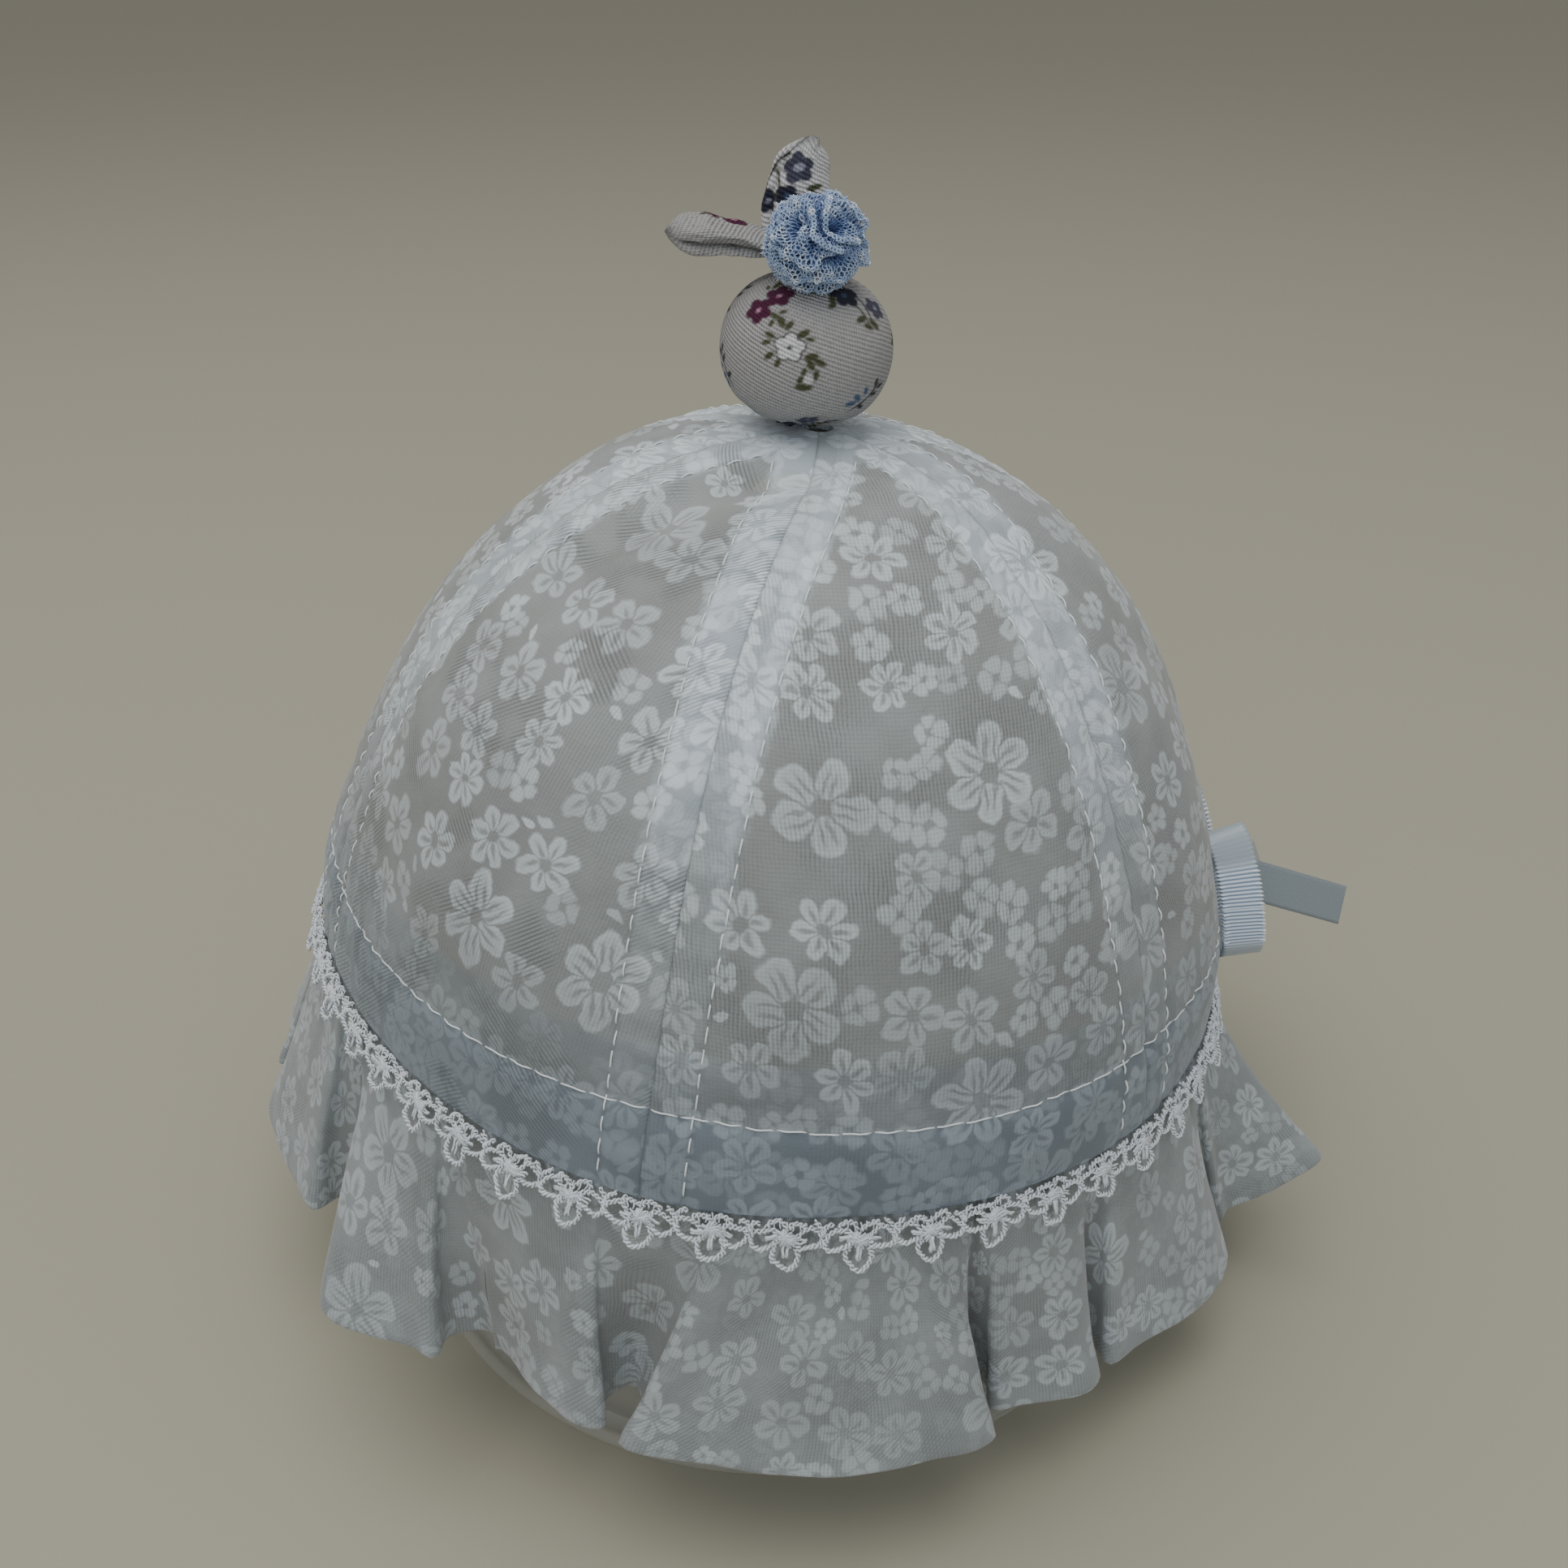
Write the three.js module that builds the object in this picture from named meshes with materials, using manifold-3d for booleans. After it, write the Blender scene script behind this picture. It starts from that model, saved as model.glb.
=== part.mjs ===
// Baby sun cap on a clear display stand.
// Six crown panels, an inside facing, a scalloped lace edging and a gathered ruffle, topped by a
// stuffed ball with two ears and a tulle pompom, with a small ribbon bow on the wearer's left side.
// Millimetres, +Z up, front towards -Y. The origin is under the middle of the whole object, on the table.
import * as THREE from "three";
import { mergeVertices } from "three/addons/utils/BufferGeometryUtils.js";
import Module from "manifold-3d";

// Driving dimensions of the cap
const headRadius = 75; // outside of the crown at its foot, for a head of about 47 cm
const crownHeight = 83; // from the crown's foot to its peak
const crownRoundness = 2.28; // superellipse power across the crown
const crownPointedness = 1.47; // superellipse power up the crown
const clothThickness = 1;
const gap = 0.3; // clearance between neighbouring pieces
const panelCount = 6;
const firstSeamAngle = -13; // degrees from the front, towards the wearer's left
const peakHoleRadius = 3;
const facingHeight = 13;
const footHeight = 62.9; // the crown's foot above the table
const leanAngle = 5.2; // degrees that the cap leans to +X on its stand

// Driving dimensions of the trim
const ruffleLength = 42; // from the gathered edge to the hem, down the cloth
const ruffleThickness = 1.2;
const laceCount = 49;
const firstScallopAngle = 2.2;
const laceFlare = 22; // degrees that the lace stands off the vertical
const laceThickness = 0.8;
const ribbonWidth = 7;
const ribbonThickness = 1;
const bowAngle = 104;
const bowHeight = 1.7; // above the crown's foot

// Driving dimensions of the stand
const standFootRadius = 66.5;
const standWallRadius = 62.5;
const standPeak = 144.3;
const standWall = 1.2;
const standShift = { x: 1.5, y: -1.3 }; // from the cap's axis at its foot

const degrees = Math.PI / 180;

// Angles run from the front (-Y) towards +X.
function polar(angle, radius, height) {
  const turn = angle * degrees;
  return new THREE.Vector3(radius * Math.sin(turn), -radius * Math.cos(turn), height);
}

// A cloth wall between two grids of points, face outside and back inside, with its edges closed.
// The rows run along the first index. With wraps, the last column joins the first.
function wallBetween(face, back, wraps) {
  const rows = face.length;
  const columns = face[0].length;
  const positions = [];
  const triangles = [];
  for (const grid of [face, back]) {
    for (const point of grid.flat()) positions.push(point.x, point.y, point.z);
  }
  const faceAt = (row, column) => row * columns + (column % columns);
  const backAt = (row, column) => rows * columns + faceAt(row, column);
  const quad = (a, b, c, d) => triangles.push(a, b, c, a, c, d);
  const end = rows - 1;
  const lastColumn = wraps ? columns : columns - 1;
  for (let column = 0; column < lastColumn; column += 1) {
    const next = column + 1;
    for (let row = 0; row < end; row += 1) {
      quad(faceAt(row, column), faceAt(row + 1, column), faceAt(row + 1, next), faceAt(row, next));
      quad(backAt(row, column), backAt(row, next), backAt(row + 1, next), backAt(row + 1, column));
    }
    quad(faceAt(0, column), faceAt(0, next), backAt(0, next), backAt(0, column));
    quad(faceAt(end, column), backAt(end, column), backAt(end, next), faceAt(end, next));
  }
  if (!wraps) {
    const side = columns - 1;
    for (let row = 0; row < end; row += 1) {
      quad(faceAt(row, 0), backAt(row, 0), backAt(row + 1, 0), faceAt(row + 1, 0));
      quad(faceAt(row, side), faceAt(row + 1, side), backAt(row + 1, side), backAt(row, side));
    }
  }
  const geometry = new THREE.BufferGeometry();
  geometry.setAttribute("position", new THREE.Float32BufferAttribute(positions, 3));
  geometry.setIndex(triangles);
  return geometry;
}

// A stuffed or woven tube: closed rings of points between two end points.
function tubeBetween(startPoint, rings, endPoint) {
  const sides = rings[0].length;
  const points = [startPoint, ...rings.flat(), endPoint];
  const ringAt = (ring, side) => 1 + ring * sides + (side % sides);
  const last = points.length - 1;
  const triangles = [];
  for (let side = 0; side < sides; side += 1) {
    triangles.push(0, ringAt(0, side + 1), ringAt(0, side));
    triangles.push(last, ringAt(rings.length - 1, side), ringAt(rings.length - 1, side + 1));
    for (let ring = 0; ring < rings.length - 1; ring += 1) {
      const [a, b] = [ringAt(ring, side), ringAt(ring, side + 1)];
      const [c, d] = [ringAt(ring + 1, side + 1), ringAt(ring + 1, side)];
      triangles.push(a, b, c, a, c, d);
    }
  }
  const geometry = new THREE.BufferGeometry().setFromPoints(points);
  geometry.setIndex(triangles);
  return geometry;
}

// Joins closed geometries that overlap into one solid, and cuts others away from it.
const manifold = await Module();
manifold.setup();

function toManifold(geometry) {
  const bare = geometry.clone();
  bare.deleteAttribute("normal");
  bare.deleteAttribute("uv");
  const merged = mergeVertices(bare, 1e-4);
  const mesh = new manifold.Mesh({
    numProp: 3,
    vertProperties: new Float32Array(merged.attributes.position.array),
    triVerts: new Uint32Array(merged.index.array),
  });
  return new manifold.Manifold(mesh);
}

function joined(geometries, cutters = []) {
  const solids = geometries.map(toManifold);
  const sum = solids.reduce((whole, solid) => whole.add(solid));
  const result = cutters.map(toManifold).reduce((whole, cutter) => whole.subtract(cutter), sum);
  const mesh = result.getMesh();
  const geometry = new THREE.BufferGeometry();
  geometry.setAttribute("position", new THREE.Float32BufferAttribute(mesh.vertProperties, 3));
  geometry.setIndex(Array.from(mesh.triVerts));
  return geometry;
}

const materials = {
  voile: new THREE.MeshStandardMaterial({ color: 0xaab8bc, roughness: 0.85, metalness: 0 }),
  facing: new THREE.MeshStandardMaterial({ color: 0x9fb0b8, roughness: 0.85, metalness: 0 }),
  lace: new THREE.MeshStandardMaterial({ color: 0xe8edf0, roughness: 0.7, metalness: 0 }),
  linen: new THREE.MeshStandardMaterial({ color: 0xc4c3c8, roughness: 0.9, metalness: 0 }),
  tulle: new THREE.MeshStandardMaterial({ color: 0x86addb, roughness: 0.8, metalness: 0 }),
  ribbon: new THREE.MeshStandardMaterial({ color: 0xa9bfd2, roughness: 0.5, metalness: 0 }),
  clearPlastic: new THREE.MeshStandardMaterial({ color: 0xdde2da, roughness: 0.15, metalness: 0 }),
};

function named(name, geometry, material) {
  const mesh = new THREE.Mesh(geometry, material);
  mesh.name = name;
  return mesh;
}

// Crown: a superellipse turned about the cap's own axis. climb runs from 0 at the peak to 90 degrees
// at the foot, and inset shrinks the whole form for the inner sides.
function crownProfile(climb, inset) {
  const radius = (headRadius - inset) * Math.sin(climb) ** (2 / crownRoundness);
  const height = (crownHeight - inset) * Math.cos(climb) ** (2 / crownPointedness);
  return { radius, height };
}

function climbAtRadius(radius) {
  return Math.asin((radius / headRadius) ** (crownRoundness / 2));
}

function climbAtHeight(height) {
  return Math.acos((height / crownHeight) ** (crownPointedness / 2));
}

// The crown's rows of facets, from the peak to the facing's top edge and on to the foot.
const facingSteps = 2;
const climbs = (() => {
  const upperSteps = 8;
  const peakClimb = climbAtRadius(peakHoleRadius);
  const facingClimb = climbAtHeight(facingHeight);
  const upper = Array.from({ length: upperSteps }, (_, step) => (
    THREE.MathUtils.lerp(peakClimb, facingClimb, step / upperSteps)
  ));
  const lower = Array.from({ length: facingSteps + 1 }, (_, step) => (
    THREE.MathUtils.lerp(facingClimb, Math.PI / 2, step / facingSteps)
  ));
  return [...upper, ...lower];
})();
const panelColumns = 6;

function crownPanel(index) {
  const width = 360 / panelCount;
  const start = firstSeamAngle + index * width;
  const grid = (inset) => climbs.map((climb) => {
    const { radius, height } = crownProfile(climb, inset);
    const seamGap = gap / 2 / radius / degrees;
    return Array.from({ length: panelColumns + 1 }, (_, column) => {
      const angle = start + seamGap + (width - 2 * seamGap) * (column / panelColumns);
      return polar(angle, radius, height);
    });
  });
  return wallBetween(grid(0), grid(clothThickness), false);
}

// Inside facing: a ring of cloth against the foot of the crown, which shows through the voile.
function insideFacing() {
  const columns = panelCount * panelColumns;
  const grid = (inset) => climbs.slice(-facingSteps - 1).map((climb) => {
    const { radius, height } = crownProfile(climb, inset);
    return Array.from({ length: columns }, (_, column) => (
      polar(firstSeamAngle + (column / columns) * 360, radius, height)
    ));
  });
  const outside = clothThickness + gap;
  return wallBetween(grid(outside), grid(outside + clothThickness), true);
}

// Ruffle: one row for each hanging fold, going round from the left of the back. start and end are
// its sides at the hem in degrees, startReach and endReach the hem's distance from the cap's axis
// there, and tuck its distance in the hollow that follows the fold. gatherStart and gatherEnd are
// where its sides leave the gathered edge.
const ruffleFolds = [
  { start: -116, end: -87, startReach: 91, endReach: 86, tuck: 78, gatherStart: -108, gatherEnd: -89 },
  { start: -84, end: -62, startReach: 85, endReach: 81, tuck: 68, gatherStart: -84, gatherEnd: -66 },
  { start: -48, end: -35, startReach: 87, endReach: 81, tuck: 71, gatherStart: -57, gatherEnd: -40 },
  { start: -31, end: -14.5, startReach: 76, endReach: 80.5, tuck: 66, gatherStart: -35, gatherEnd: -18 },
  { start: -12, end: 27, startReach: 81, endReach: 83.5, tuck: 70, gatherStart: -5, gatherEnd: 21 },
  { start: 30, end: 41.5, startReach: 79, endReach: 83.5, tuck: 72, gatherStart: 25, gatherEnd: 38 },
  { start: 46, end: 66, startReach: 83, endReach: 89, tuck: 80, gatherStart: 44, gatherEnd: 64 },
  { start: 71, end: 98, startReach: 100, endReach: 97, tuck: 83, gatherStart: 68, gatherEnd: 92 },
  { start: 103, end: 126, startReach: 95, endReach: 91, tuck: 74, gatherStart: 98, gatherEnd: 122 },
  { start: 131, end: 152, startReach: 89, endReach: 87, tuck: 70, gatherStart: 130, gatherEnd: 150 },
  { start: 157, end: 183, startReach: 87, endReach: 89, tuck: 72, gatherStart: 158, gatherEnd: 181 },
  { start: 189, end: 208, startReach: 87, endReach: 86, tuck: 69, gatherStart: 190, gatherEnd: 209 },
  { start: 213, end: 239, startReach: 89, endReach: 91, tuck: 79, gatherStart: 216, gatherEnd: 243 },
];
const foldNeck = 1.4; // degrees that a fold's sides turn back under it
const shoulderDrop = 1.8; // how much the hem draws in at a fold's sides
const ruffleEdgeRadius = headRadius - 0.4;

// The hem and the gathered edge seen from above: two closed curves that run together, with a point
// at each fold's necks, shoulders, crests and belly, and at the hollow after it.
function ruffleCurves() {
  const hemPoints = [];
  const edgePoints = [];
  const add = (angle, reach, gatherAngle) => {
    hemPoints.push(polar(angle, reach, 0));
    edgePoints.push(polar(gatherAngle, ruffleEdgeRadius, 0));
  };
  ruffleFolds.forEach((fold, index) => {
    const { start, end, startReach, endReach, tuck, gatherStart, gatherEnd } = fold;
    const isLast = index === ruffleFolds.length - 1;
    const fullTurn = isLast ? 360 : 0;
    const next = ruffleFolds[isLast ? 0 : index + 1];
    const tuckBefore = ruffleFolds.at(index - 1).tuck;
    const along = (share) => THREE.MathUtils.lerp(start, end, share);
    const gathered = (share) => THREE.MathUtils.lerp(gatherStart, gatherEnd, share);
    add(start + foldNeck, (tuckBefore + startReach) / 2, gathered(-0.04));
    add(start, startReach - shoulderDrop, gathered(0.06));
    add(along(0.2), startReach, gathered(0.24));
    add(along(0.5), (startReach + endReach) / 2 + 0.4, gathered(0.5));
    add(along(0.8), endReach, gathered(0.76));
    add(end, endReach - shoulderDrop, gathered(0.94));
    add(end - foldNeck, (tuck + endReach) / 2, gathered(1.04));
    add((end + next.start + fullTurn) / 2, tuck, (gatherEnd + next.gatherStart + fullTurn) / 2);
  });
  const closedCurve = (points) => new THREE.CatmullRomCurve3(points, true, "centripetal");
  return { hem: closedCurve(hemPoints), edge: closedCurve(edgePoints) };
}

function ruffle() {
  const columns = ruffleFolds.length * 10;
  const rowPlaces = [0, 0.2, 0.58, 1];
  const { hem, edge } = ruffleCurves();
  const face = rowPlaces.map((place) => Array.from({ length: columns }, (_, column) => {
    const low = hem.getPoint(column / columns);
    const high = edge.getPoint(column / columns).setLength(ruffleEdgeRadius);
    const reach = low.length();
    const drop = Math.sqrt(ruffleLength ** 2 - (reach - ruffleEdgeRadius) ** 2);
    const spread = place ** 1.4;
    const point = high.lerp(low, spread);
    point.setLength(THREE.MathUtils.lerp(ruffleEdgeRadius, reach, spread));
    return point.setZ(-gap - drop * place);
  }));
  const back = face.map((line, row) => line.map((point, column) => {
    const left = line.at(column - 1);
    const right = line[(column + 1) % columns];
    const above = face[Math.max(row - 1, 0)][column];
    const below = face[Math.min(row + 1, face.length - 1)][column];
    const outward = below.clone().sub(above).cross(right.clone().sub(left)).normalize();
    if (row === 0) outward.setZ(0).normalize();
    return point.clone().addScaledVector(outward, -ruffleThickness);
  }));
  return wallBetween(face, back, true);
}

// Lace: one scallop with two eyes, drawn flat, bent round the foot of the crown and repeated.
// In the drawing, x runs across the scallop, y up towards the seam and z out from the cap.
const scallopPitch = 360 / laceCount;
const scallopHalf = (headRadius * scallopPitch * degrees) / 2;

function scallopDrawing() {
  const side = [
    { across: 1.6, down: 0 },
    { across: 3.4, down: 0.7 },
    { across: scallopHalf, down: 2.1 },
    { across: scallopHalf, down: 3.1 },
    { across: 2.5, down: 4.6 },
    { across: 1, down: 6.7 },
  ];
  const outline = new THREE.Shape();
  outline.moveTo(-side[0].across, 0);
  for (const corner of side) outline.lineTo(corner.across, -corner.down);
  for (const corner of side.slice().reverse()) outline.lineTo(-corner.across, -corner.down);
  const eyeMiddle = { across: 2.5, down: 2.6 };
  const eyeHalf = { across: 1.2, down: 0.8 };
  for (const hand of [-1, 1]) {
    const corners = [0, 1, 2, 3].map((corner) => new THREE.Vector2(
      hand * eyeMiddle.across + eyeHalf.across * Math.cos(corner * 90 * degrees),
      -eyeMiddle.down + eyeHalf.down * Math.sin(corner * 90 * degrees),
    ));
    outline.holes.push(new THREE.Path(corners));
  }
  const drawing = new THREE.ExtrudeGeometry(outline, {
    depth: laceThickness,
    bevelEnabled: false,
    steps: 1,
  });
  return drawing.attributes.position;
}

function laceEdging() {
  const drawing = scallopDrawing();
  const insideRadius = headRadius + 0.25;
  const [flareSin, flareCos] = [Math.sin(laceFlare * degrees), Math.cos(laceFlare * degrees)];
  const positions = [];
  const corner = new THREE.Vector3();
  for (let index = 0; index < laceCount; index += 1) {
    const middle = firstScallopAngle + index * scallopPitch;
    for (let first = 0; first < drawing.count; first += 3) {
      const corners = [0, 1, 2].map((step) => corner.fromBufferAttribute(drawing, first + step).clone());
      // Scallops meet at their sides, so the drawing's two side walls are left out.
      const onSide = (point) => Math.abs(point.x) > scallopHalf - 1e-4;
      if (corners.every(onSide)) continue;
      for (const { x, y, z } of corners) {
        const angle = middle + (x / scallopHalf) * (scallopPitch / 2);
        const radius = insideRadius - y * flareSin + z * flareCos;
        const place = polar(angle, radius, -gap + y * flareCos + (z - laceThickness) * flareSin);
        positions.push(place.x, place.y, place.z);
      }
    }
  }
  const geometry = new THREE.BufferGeometry();
  geometry.setAttribute("position", new THREE.Float32BufferAttribute(positions, 3));
  return mergeVertices(geometry, 1e-3);
}

// Ball: a stuffed ball, flatter than it is wide, gathered shut under itself.
const ball = { x: -2.9, y: 0, z: 93.9, radius: 12.2, halfHeight: 10.6 };

function stuffedBall(growth = 0) {
  const sections = 10;
  const profile = [];
  for (let section = 0; section <= sections; section += 1) {
    const turn = (section / sections - 0.5) * Math.PI;
    const atPole = section === 0 || section === sections;
    const radius = atPole ? 0 : (ball.radius + growth) * Math.cos(turn) ** 0.86;
    profile.push(new THREE.Vector2(radius, (ball.halfHeight + growth) * Math.sin(turn)));
  }
  const geometry = new THREE.LatheGeometry(profile, 16);
  geometry.rotateX(90 * degrees);
  geometry.translate(ball.x, ball.y, ball.z);
  return geometry;
}

// Ears: flattened stuffed points. Each row is a section along the ear, from its root to just short
// of its tip: how far along it is, and its width and thickness there as shares of the ear's own.
const earSections = [
  { along: 0.05, width: 0.5, thickness: 0.75 },
  { along: 0.25, width: 0.8, thickness: 0.95 },
  { along: 0.5, width: 1, thickness: 1 },
  { along: 0.75, width: 0.92, thickness: 0.85 },
  { along: 0.93, width: 0.5, thickness: 0.45 },
];

const leftEar = {
  root: new THREE.Vector3(-6.9, 1.6, 106.3),
  tip: new THREE.Vector3(-23.9, 0, 108.7),
  bow: new THREE.Vector3(0, 0, 1.2),
  broad: new THREE.Vector3(0, 1, 0.2),
  halfWidth: 3.6,
  halfThickness: 2.6,
};

const uprightEar = {
  root: new THREE.Vector3(-4.4, 5.2, 104),
  tip: new THREE.Vector3(-4.6, 5, 121.9),
  bow: new THREE.Vector3(-2.6, 0.6, 0),
  broad: new THREE.Vector3(1, 0.1, 0),
  halfWidth: 4.6,
  halfThickness: 2.2,
};

function ear({ root, tip, bow, broad, halfWidth, halfThickness }, growth = 0) {
  const sides = 10;
  const spine = new THREE.QuadraticBezierCurve3(root, root.clone().lerp(tip, 0.5).add(bow), tip);
  const rings = earSections.map((section) => {
    const centre = spine.getPoint(section.along);
    const forward = spine.getTangent(section.along);
    const wide = broad.clone().addScaledVector(forward, -broad.dot(forward)).normalize();
    const thick = forward.clone().cross(wide);
    const ring = [];
    for (let side = 0; side < sides; side += 1) {
      const turn = (side / sides) * 2 * Math.PI;
      const point = centre.clone();
      point.addScaledVector(wide, (halfWidth * section.width + growth) * Math.cos(turn));
      point.addScaledVector(thick, (halfThickness * section.thickness + growth) * Math.sin(turn));
      ring.push(point);
    }
    return ring;
  });
  return tubeBetween(root, rings, tip);
}

// Pompom: gathered tulle, with leaf-shaped lobes standing out of a core, all one solid. It is
// pressed against the ball and the ears, and keeps its clearance to them.
const pompom = { x: -3.1, y: -5, z: 110, radius: 8, lobes: 18 };

function tullePompom() {
  const core = new THREE.IcosahedronGeometry(pompom.radius * 0.74, 1);
  const solids = [core];
  const goldenTurn = Math.PI * (3 - Math.sqrt(5));
  for (let index = 0; index < pompom.lobes; index += 1) {
    const height = 1 - (2 * (index + 0.5)) / pompom.lobes;
    const flat = Math.sqrt(1 - height * height);
    const turn = index * goldenTurn;
    const outward = new THREE.Vector3(flat * Math.cos(turn), flat * Math.sin(turn), height);
    const lobe = new THREE.SphereGeometry(1, 6, 3);
    lobe.scale(pompom.radius * 0.42, pompom.radius * 0.15, pompom.radius * 0.42);
    lobe.rotateZ(index * 2.1);
    lobe.applyQuaternion(new THREE.Quaternion().setFromUnitVectors(new THREE.Vector3(0, 0, 1), outward));
    const centre = outward.clone().multiplyScalar(pompom.radius * 0.58);
    lobe.translate(centre.x, centre.y, centre.z);
    solids.push(lobe);
  }
  for (const solid of solids) solid.translate(pompom.x, pompom.y, pompom.z);
  const earClearance = 1.8 * gap; // a grown ear's facets stand off by less than its growth
  const pressedAgainst = [
    stuffedBall(gap),
    ear(leftEar, earClearance),
    ear(uprightEar, earClearance),
  ];
  return joined(solids, pressedAgainst);
}

// Bow: grosgrain ribbon standing on its edge on the crown. In its own drawing, x runs along the
// crown towards the back, y is up and z is out from the crown.
const bow = {
  reach: 77.5, // from the cap's axis to the loops' inner edges
  lean: 16, // degrees that its lower side stands off the crown
  knotHalfWidth: 2.4,
  knotHalfHeight: 3.2,
  knotDepth: 9.2,
  knotBack: -1.5,
  loopLength: 13.5,
  loopHeight: 29.8,
  loopFlare: 0.08, // how much taller the loops are at their outer edge
  loopSlant: 0.16, // how far the loops' lower part leans towards the front
  tailLength: 29.5,
  tailRoot: -4, // below the middle of the knot
  tailDroop: 35, // degrees
  tailTwist: 28, // degrees that the tails' upper edges turn to the back
};

// A loop of ribbon: an egg-shaped ring that starts at the knot and lies to one hand of it.
function ribbonLoop(hand) {
  const sides = 20;
  const rootPlace = bow.knotHalfWidth + gap;
  const ring = (inset) => {
    const points = [];
    for (let side = 0; side < sides; side += 1) {
      const turn = (side / sides) * 2 * Math.PI;
      const place = rootPlace + (bow.loopLength / 2) * (1 + Math.cos(turn)) - inset * Math.cos(turn);
      const fullness = 0.4 + 0.6 * Math.sqrt(0.5 + 0.5 * Math.cos(turn));
      const y = (bow.loopHeight / 2) * fullness * Math.sin(turn) - inset * Math.sin(turn);
      const slantShare = (place - rootPlace) / bow.loopLength;
      points.push(new THREE.Vector2(hand * place + bow.loopSlant * slantShare * y, y));
    }
    return hand > 0 ? points : points.reverse();
  };
  const outline = new THREE.Shape(ring(0));
  outline.holes.push(new THREE.Path(ring(ribbonThickness)));
  const geometry = new THREE.ExtrudeGeometry(outline, {
    depth: ribbonWidth,
    bevelEnabled: false,
    steps: 1,
  });
  const { position } = geometry.attributes;
  for (let index = 0; index < position.count; index += 1) {
    const flare = 1 + bow.loopFlare * (position.getZ(index) / ribbonWidth);
    position.setY(index, position.getY(index) * flare);
  }
  return geometry;
}

// A tail: a strip that leaves the outer side of the knot, droops, and turns to the back by heading.
function ribbonTail(place, heading) {
  const geometry = new THREE.BoxGeometry(bow.tailLength, ribbonWidth, ribbonThickness);
  geometry.translate(bow.tailLength / 2, 0, 0);
  geometry.rotateX(-bow.tailTwist * degrees);
  geometry.rotateZ(-bow.tailDroop * degrees);
  geometry.rotateY((heading - 90) * degrees);
  // The strip's slanting root comes nearest to the knot at the knot's lower edge.
  const lowerEdge = -bow.knotHalfHeight - bow.tailRoot;
  const slantBack = lowerEdge * Math.tan(bow.tailDroop * degrees) * Math.cos(heading * degrees);
  const rootOut = bow.knotBack + bow.knotDepth + gap - slantBack;
  geometry.translate(place, bow.tailRoot, rootOut);
  return geometry;
}

function ribbonKnot() {
  const { knotHalfWidth: halfWidth, knotHalfHeight: halfHeight } = bow;
  const round = 1.2;
  const outline = new THREE.Shape();
  outline.moveTo(-halfWidth + round, -halfHeight);
  outline.lineTo(halfWidth - round, -halfHeight);
  outline.lineTo(halfWidth, -halfHeight + round);
  outline.lineTo(halfWidth, halfHeight - round);
  outline.lineTo(halfWidth - round, halfHeight);
  outline.lineTo(-halfWidth + round, halfHeight);
  outline.lineTo(-halfWidth, halfHeight - round);
  outline.lineTo(-halfWidth, -halfHeight + round);
  outline.closePath();
  const geometry = new THREE.ExtrudeGeometry(outline, {
    depth: bow.knotDepth,
    bevelEnabled: false,
    steps: 1,
  });
  geometry.translate(0, 0, bow.knotBack);
  return geometry;
}

function ribbonBow() {
  const group = new THREE.Group();
  group.add(named("bow_knot", ribbonKnot(), materials.ribbon));
  group.add(named("bow_loop_front", ribbonLoop(-1), materials.ribbon));
  group.add(named("bow_loop_back", ribbonLoop(1), materials.ribbon));
  group.add(named("bow_tail_front", ribbonTail(-0.9, 0), materials.ribbon));
  group.add(named("bow_tail_back", ribbonTail(1.9, 44), materials.ribbon));
  const backward = polar(bowAngle + 90, 1, 0);
  const outward = polar(bowAngle, 1, 0);
  const upward = new THREE.Vector3(0, 0, 1);
  group.setRotationFromMatrix(new THREE.Matrix4().makeBasis(backward, upward, outward));
  group.rotateX(-bow.lean * degrees);
  group.position.copy(polar(bowAngle, bow.reach, bowHeight));
  return group;
}

// Stand: a clear domed shell, open below, on a rolled rim.
function displayStand() {
  const sides = 36;
  const domeSections = 7;
  const domeFoot = 58;
  const rimHeight = 3;
  const rimInside = standFootRadius - 4;
  const dome = (inset) => {
    const points = [];
    for (let section = 0; section <= domeSections; section += 1) {
      const climb = (section / domeSections) * (Math.PI / 2);
      const radius = section === 0 ? 0 : (standWallRadius - 1 - inset) * Math.sin(climb) ** 0.9;
      const height = domeFoot + (standPeak - domeFoot - inset) * Math.cos(climb) ** 1.3;
      points.push(new THREE.Vector2(radius, height));
    }
    return points;
  };
  const inner = dome(standWall);
  const outer = dome(0).reverse();
  const profile = [
    ...inner,
    new THREE.Vector2(standWallRadius - standWall, rimHeight),
    new THREE.Vector2(rimInside, 0),
    new THREE.Vector2(standFootRadius, 0),
    new THREE.Vector2(standFootRadius, rimHeight - 0.4),
    new THREE.Vector2(standWallRadius + 0.6, rimHeight),
    new THREE.Vector2(standWallRadius, rimHeight + 1),
    ...outer,
  ];
  const geometry = new THREE.LatheGeometry(profile, sides);
  geometry.rotateX(90 * degrees);
  geometry.translate(standShift.x, standShift.y, 0);
  return geometry;
}

function sunCap() {
  const cap = new THREE.Group();
  for (let index = 0; index < panelCount; index += 1) {
    cap.add(named(`crown_panel_${index + 1}`, crownPanel(index), materials.voile));
  }
  cap.add(named("inside_facing", insideFacing(), materials.facing));
  cap.add(named("ruffle", ruffle(), materials.voile));
  cap.add(named("lace_edging", laceEdging(), materials.lace));
  cap.add(named("top_ball", stuffedBall(), materials.linen));
  cap.add(named("ear_left", ear(leftEar), materials.linen));
  cap.add(named("ear_upright", ear(uprightEar), materials.linen));
  cap.add(named("tulle_pompom", tullePompom(), materials.tulle));
  cap.add(ribbonBow());
  cap.position.z = footHeight;
  cap.rotation.y = leanAngle * degrees;
  return cap;
}

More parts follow.
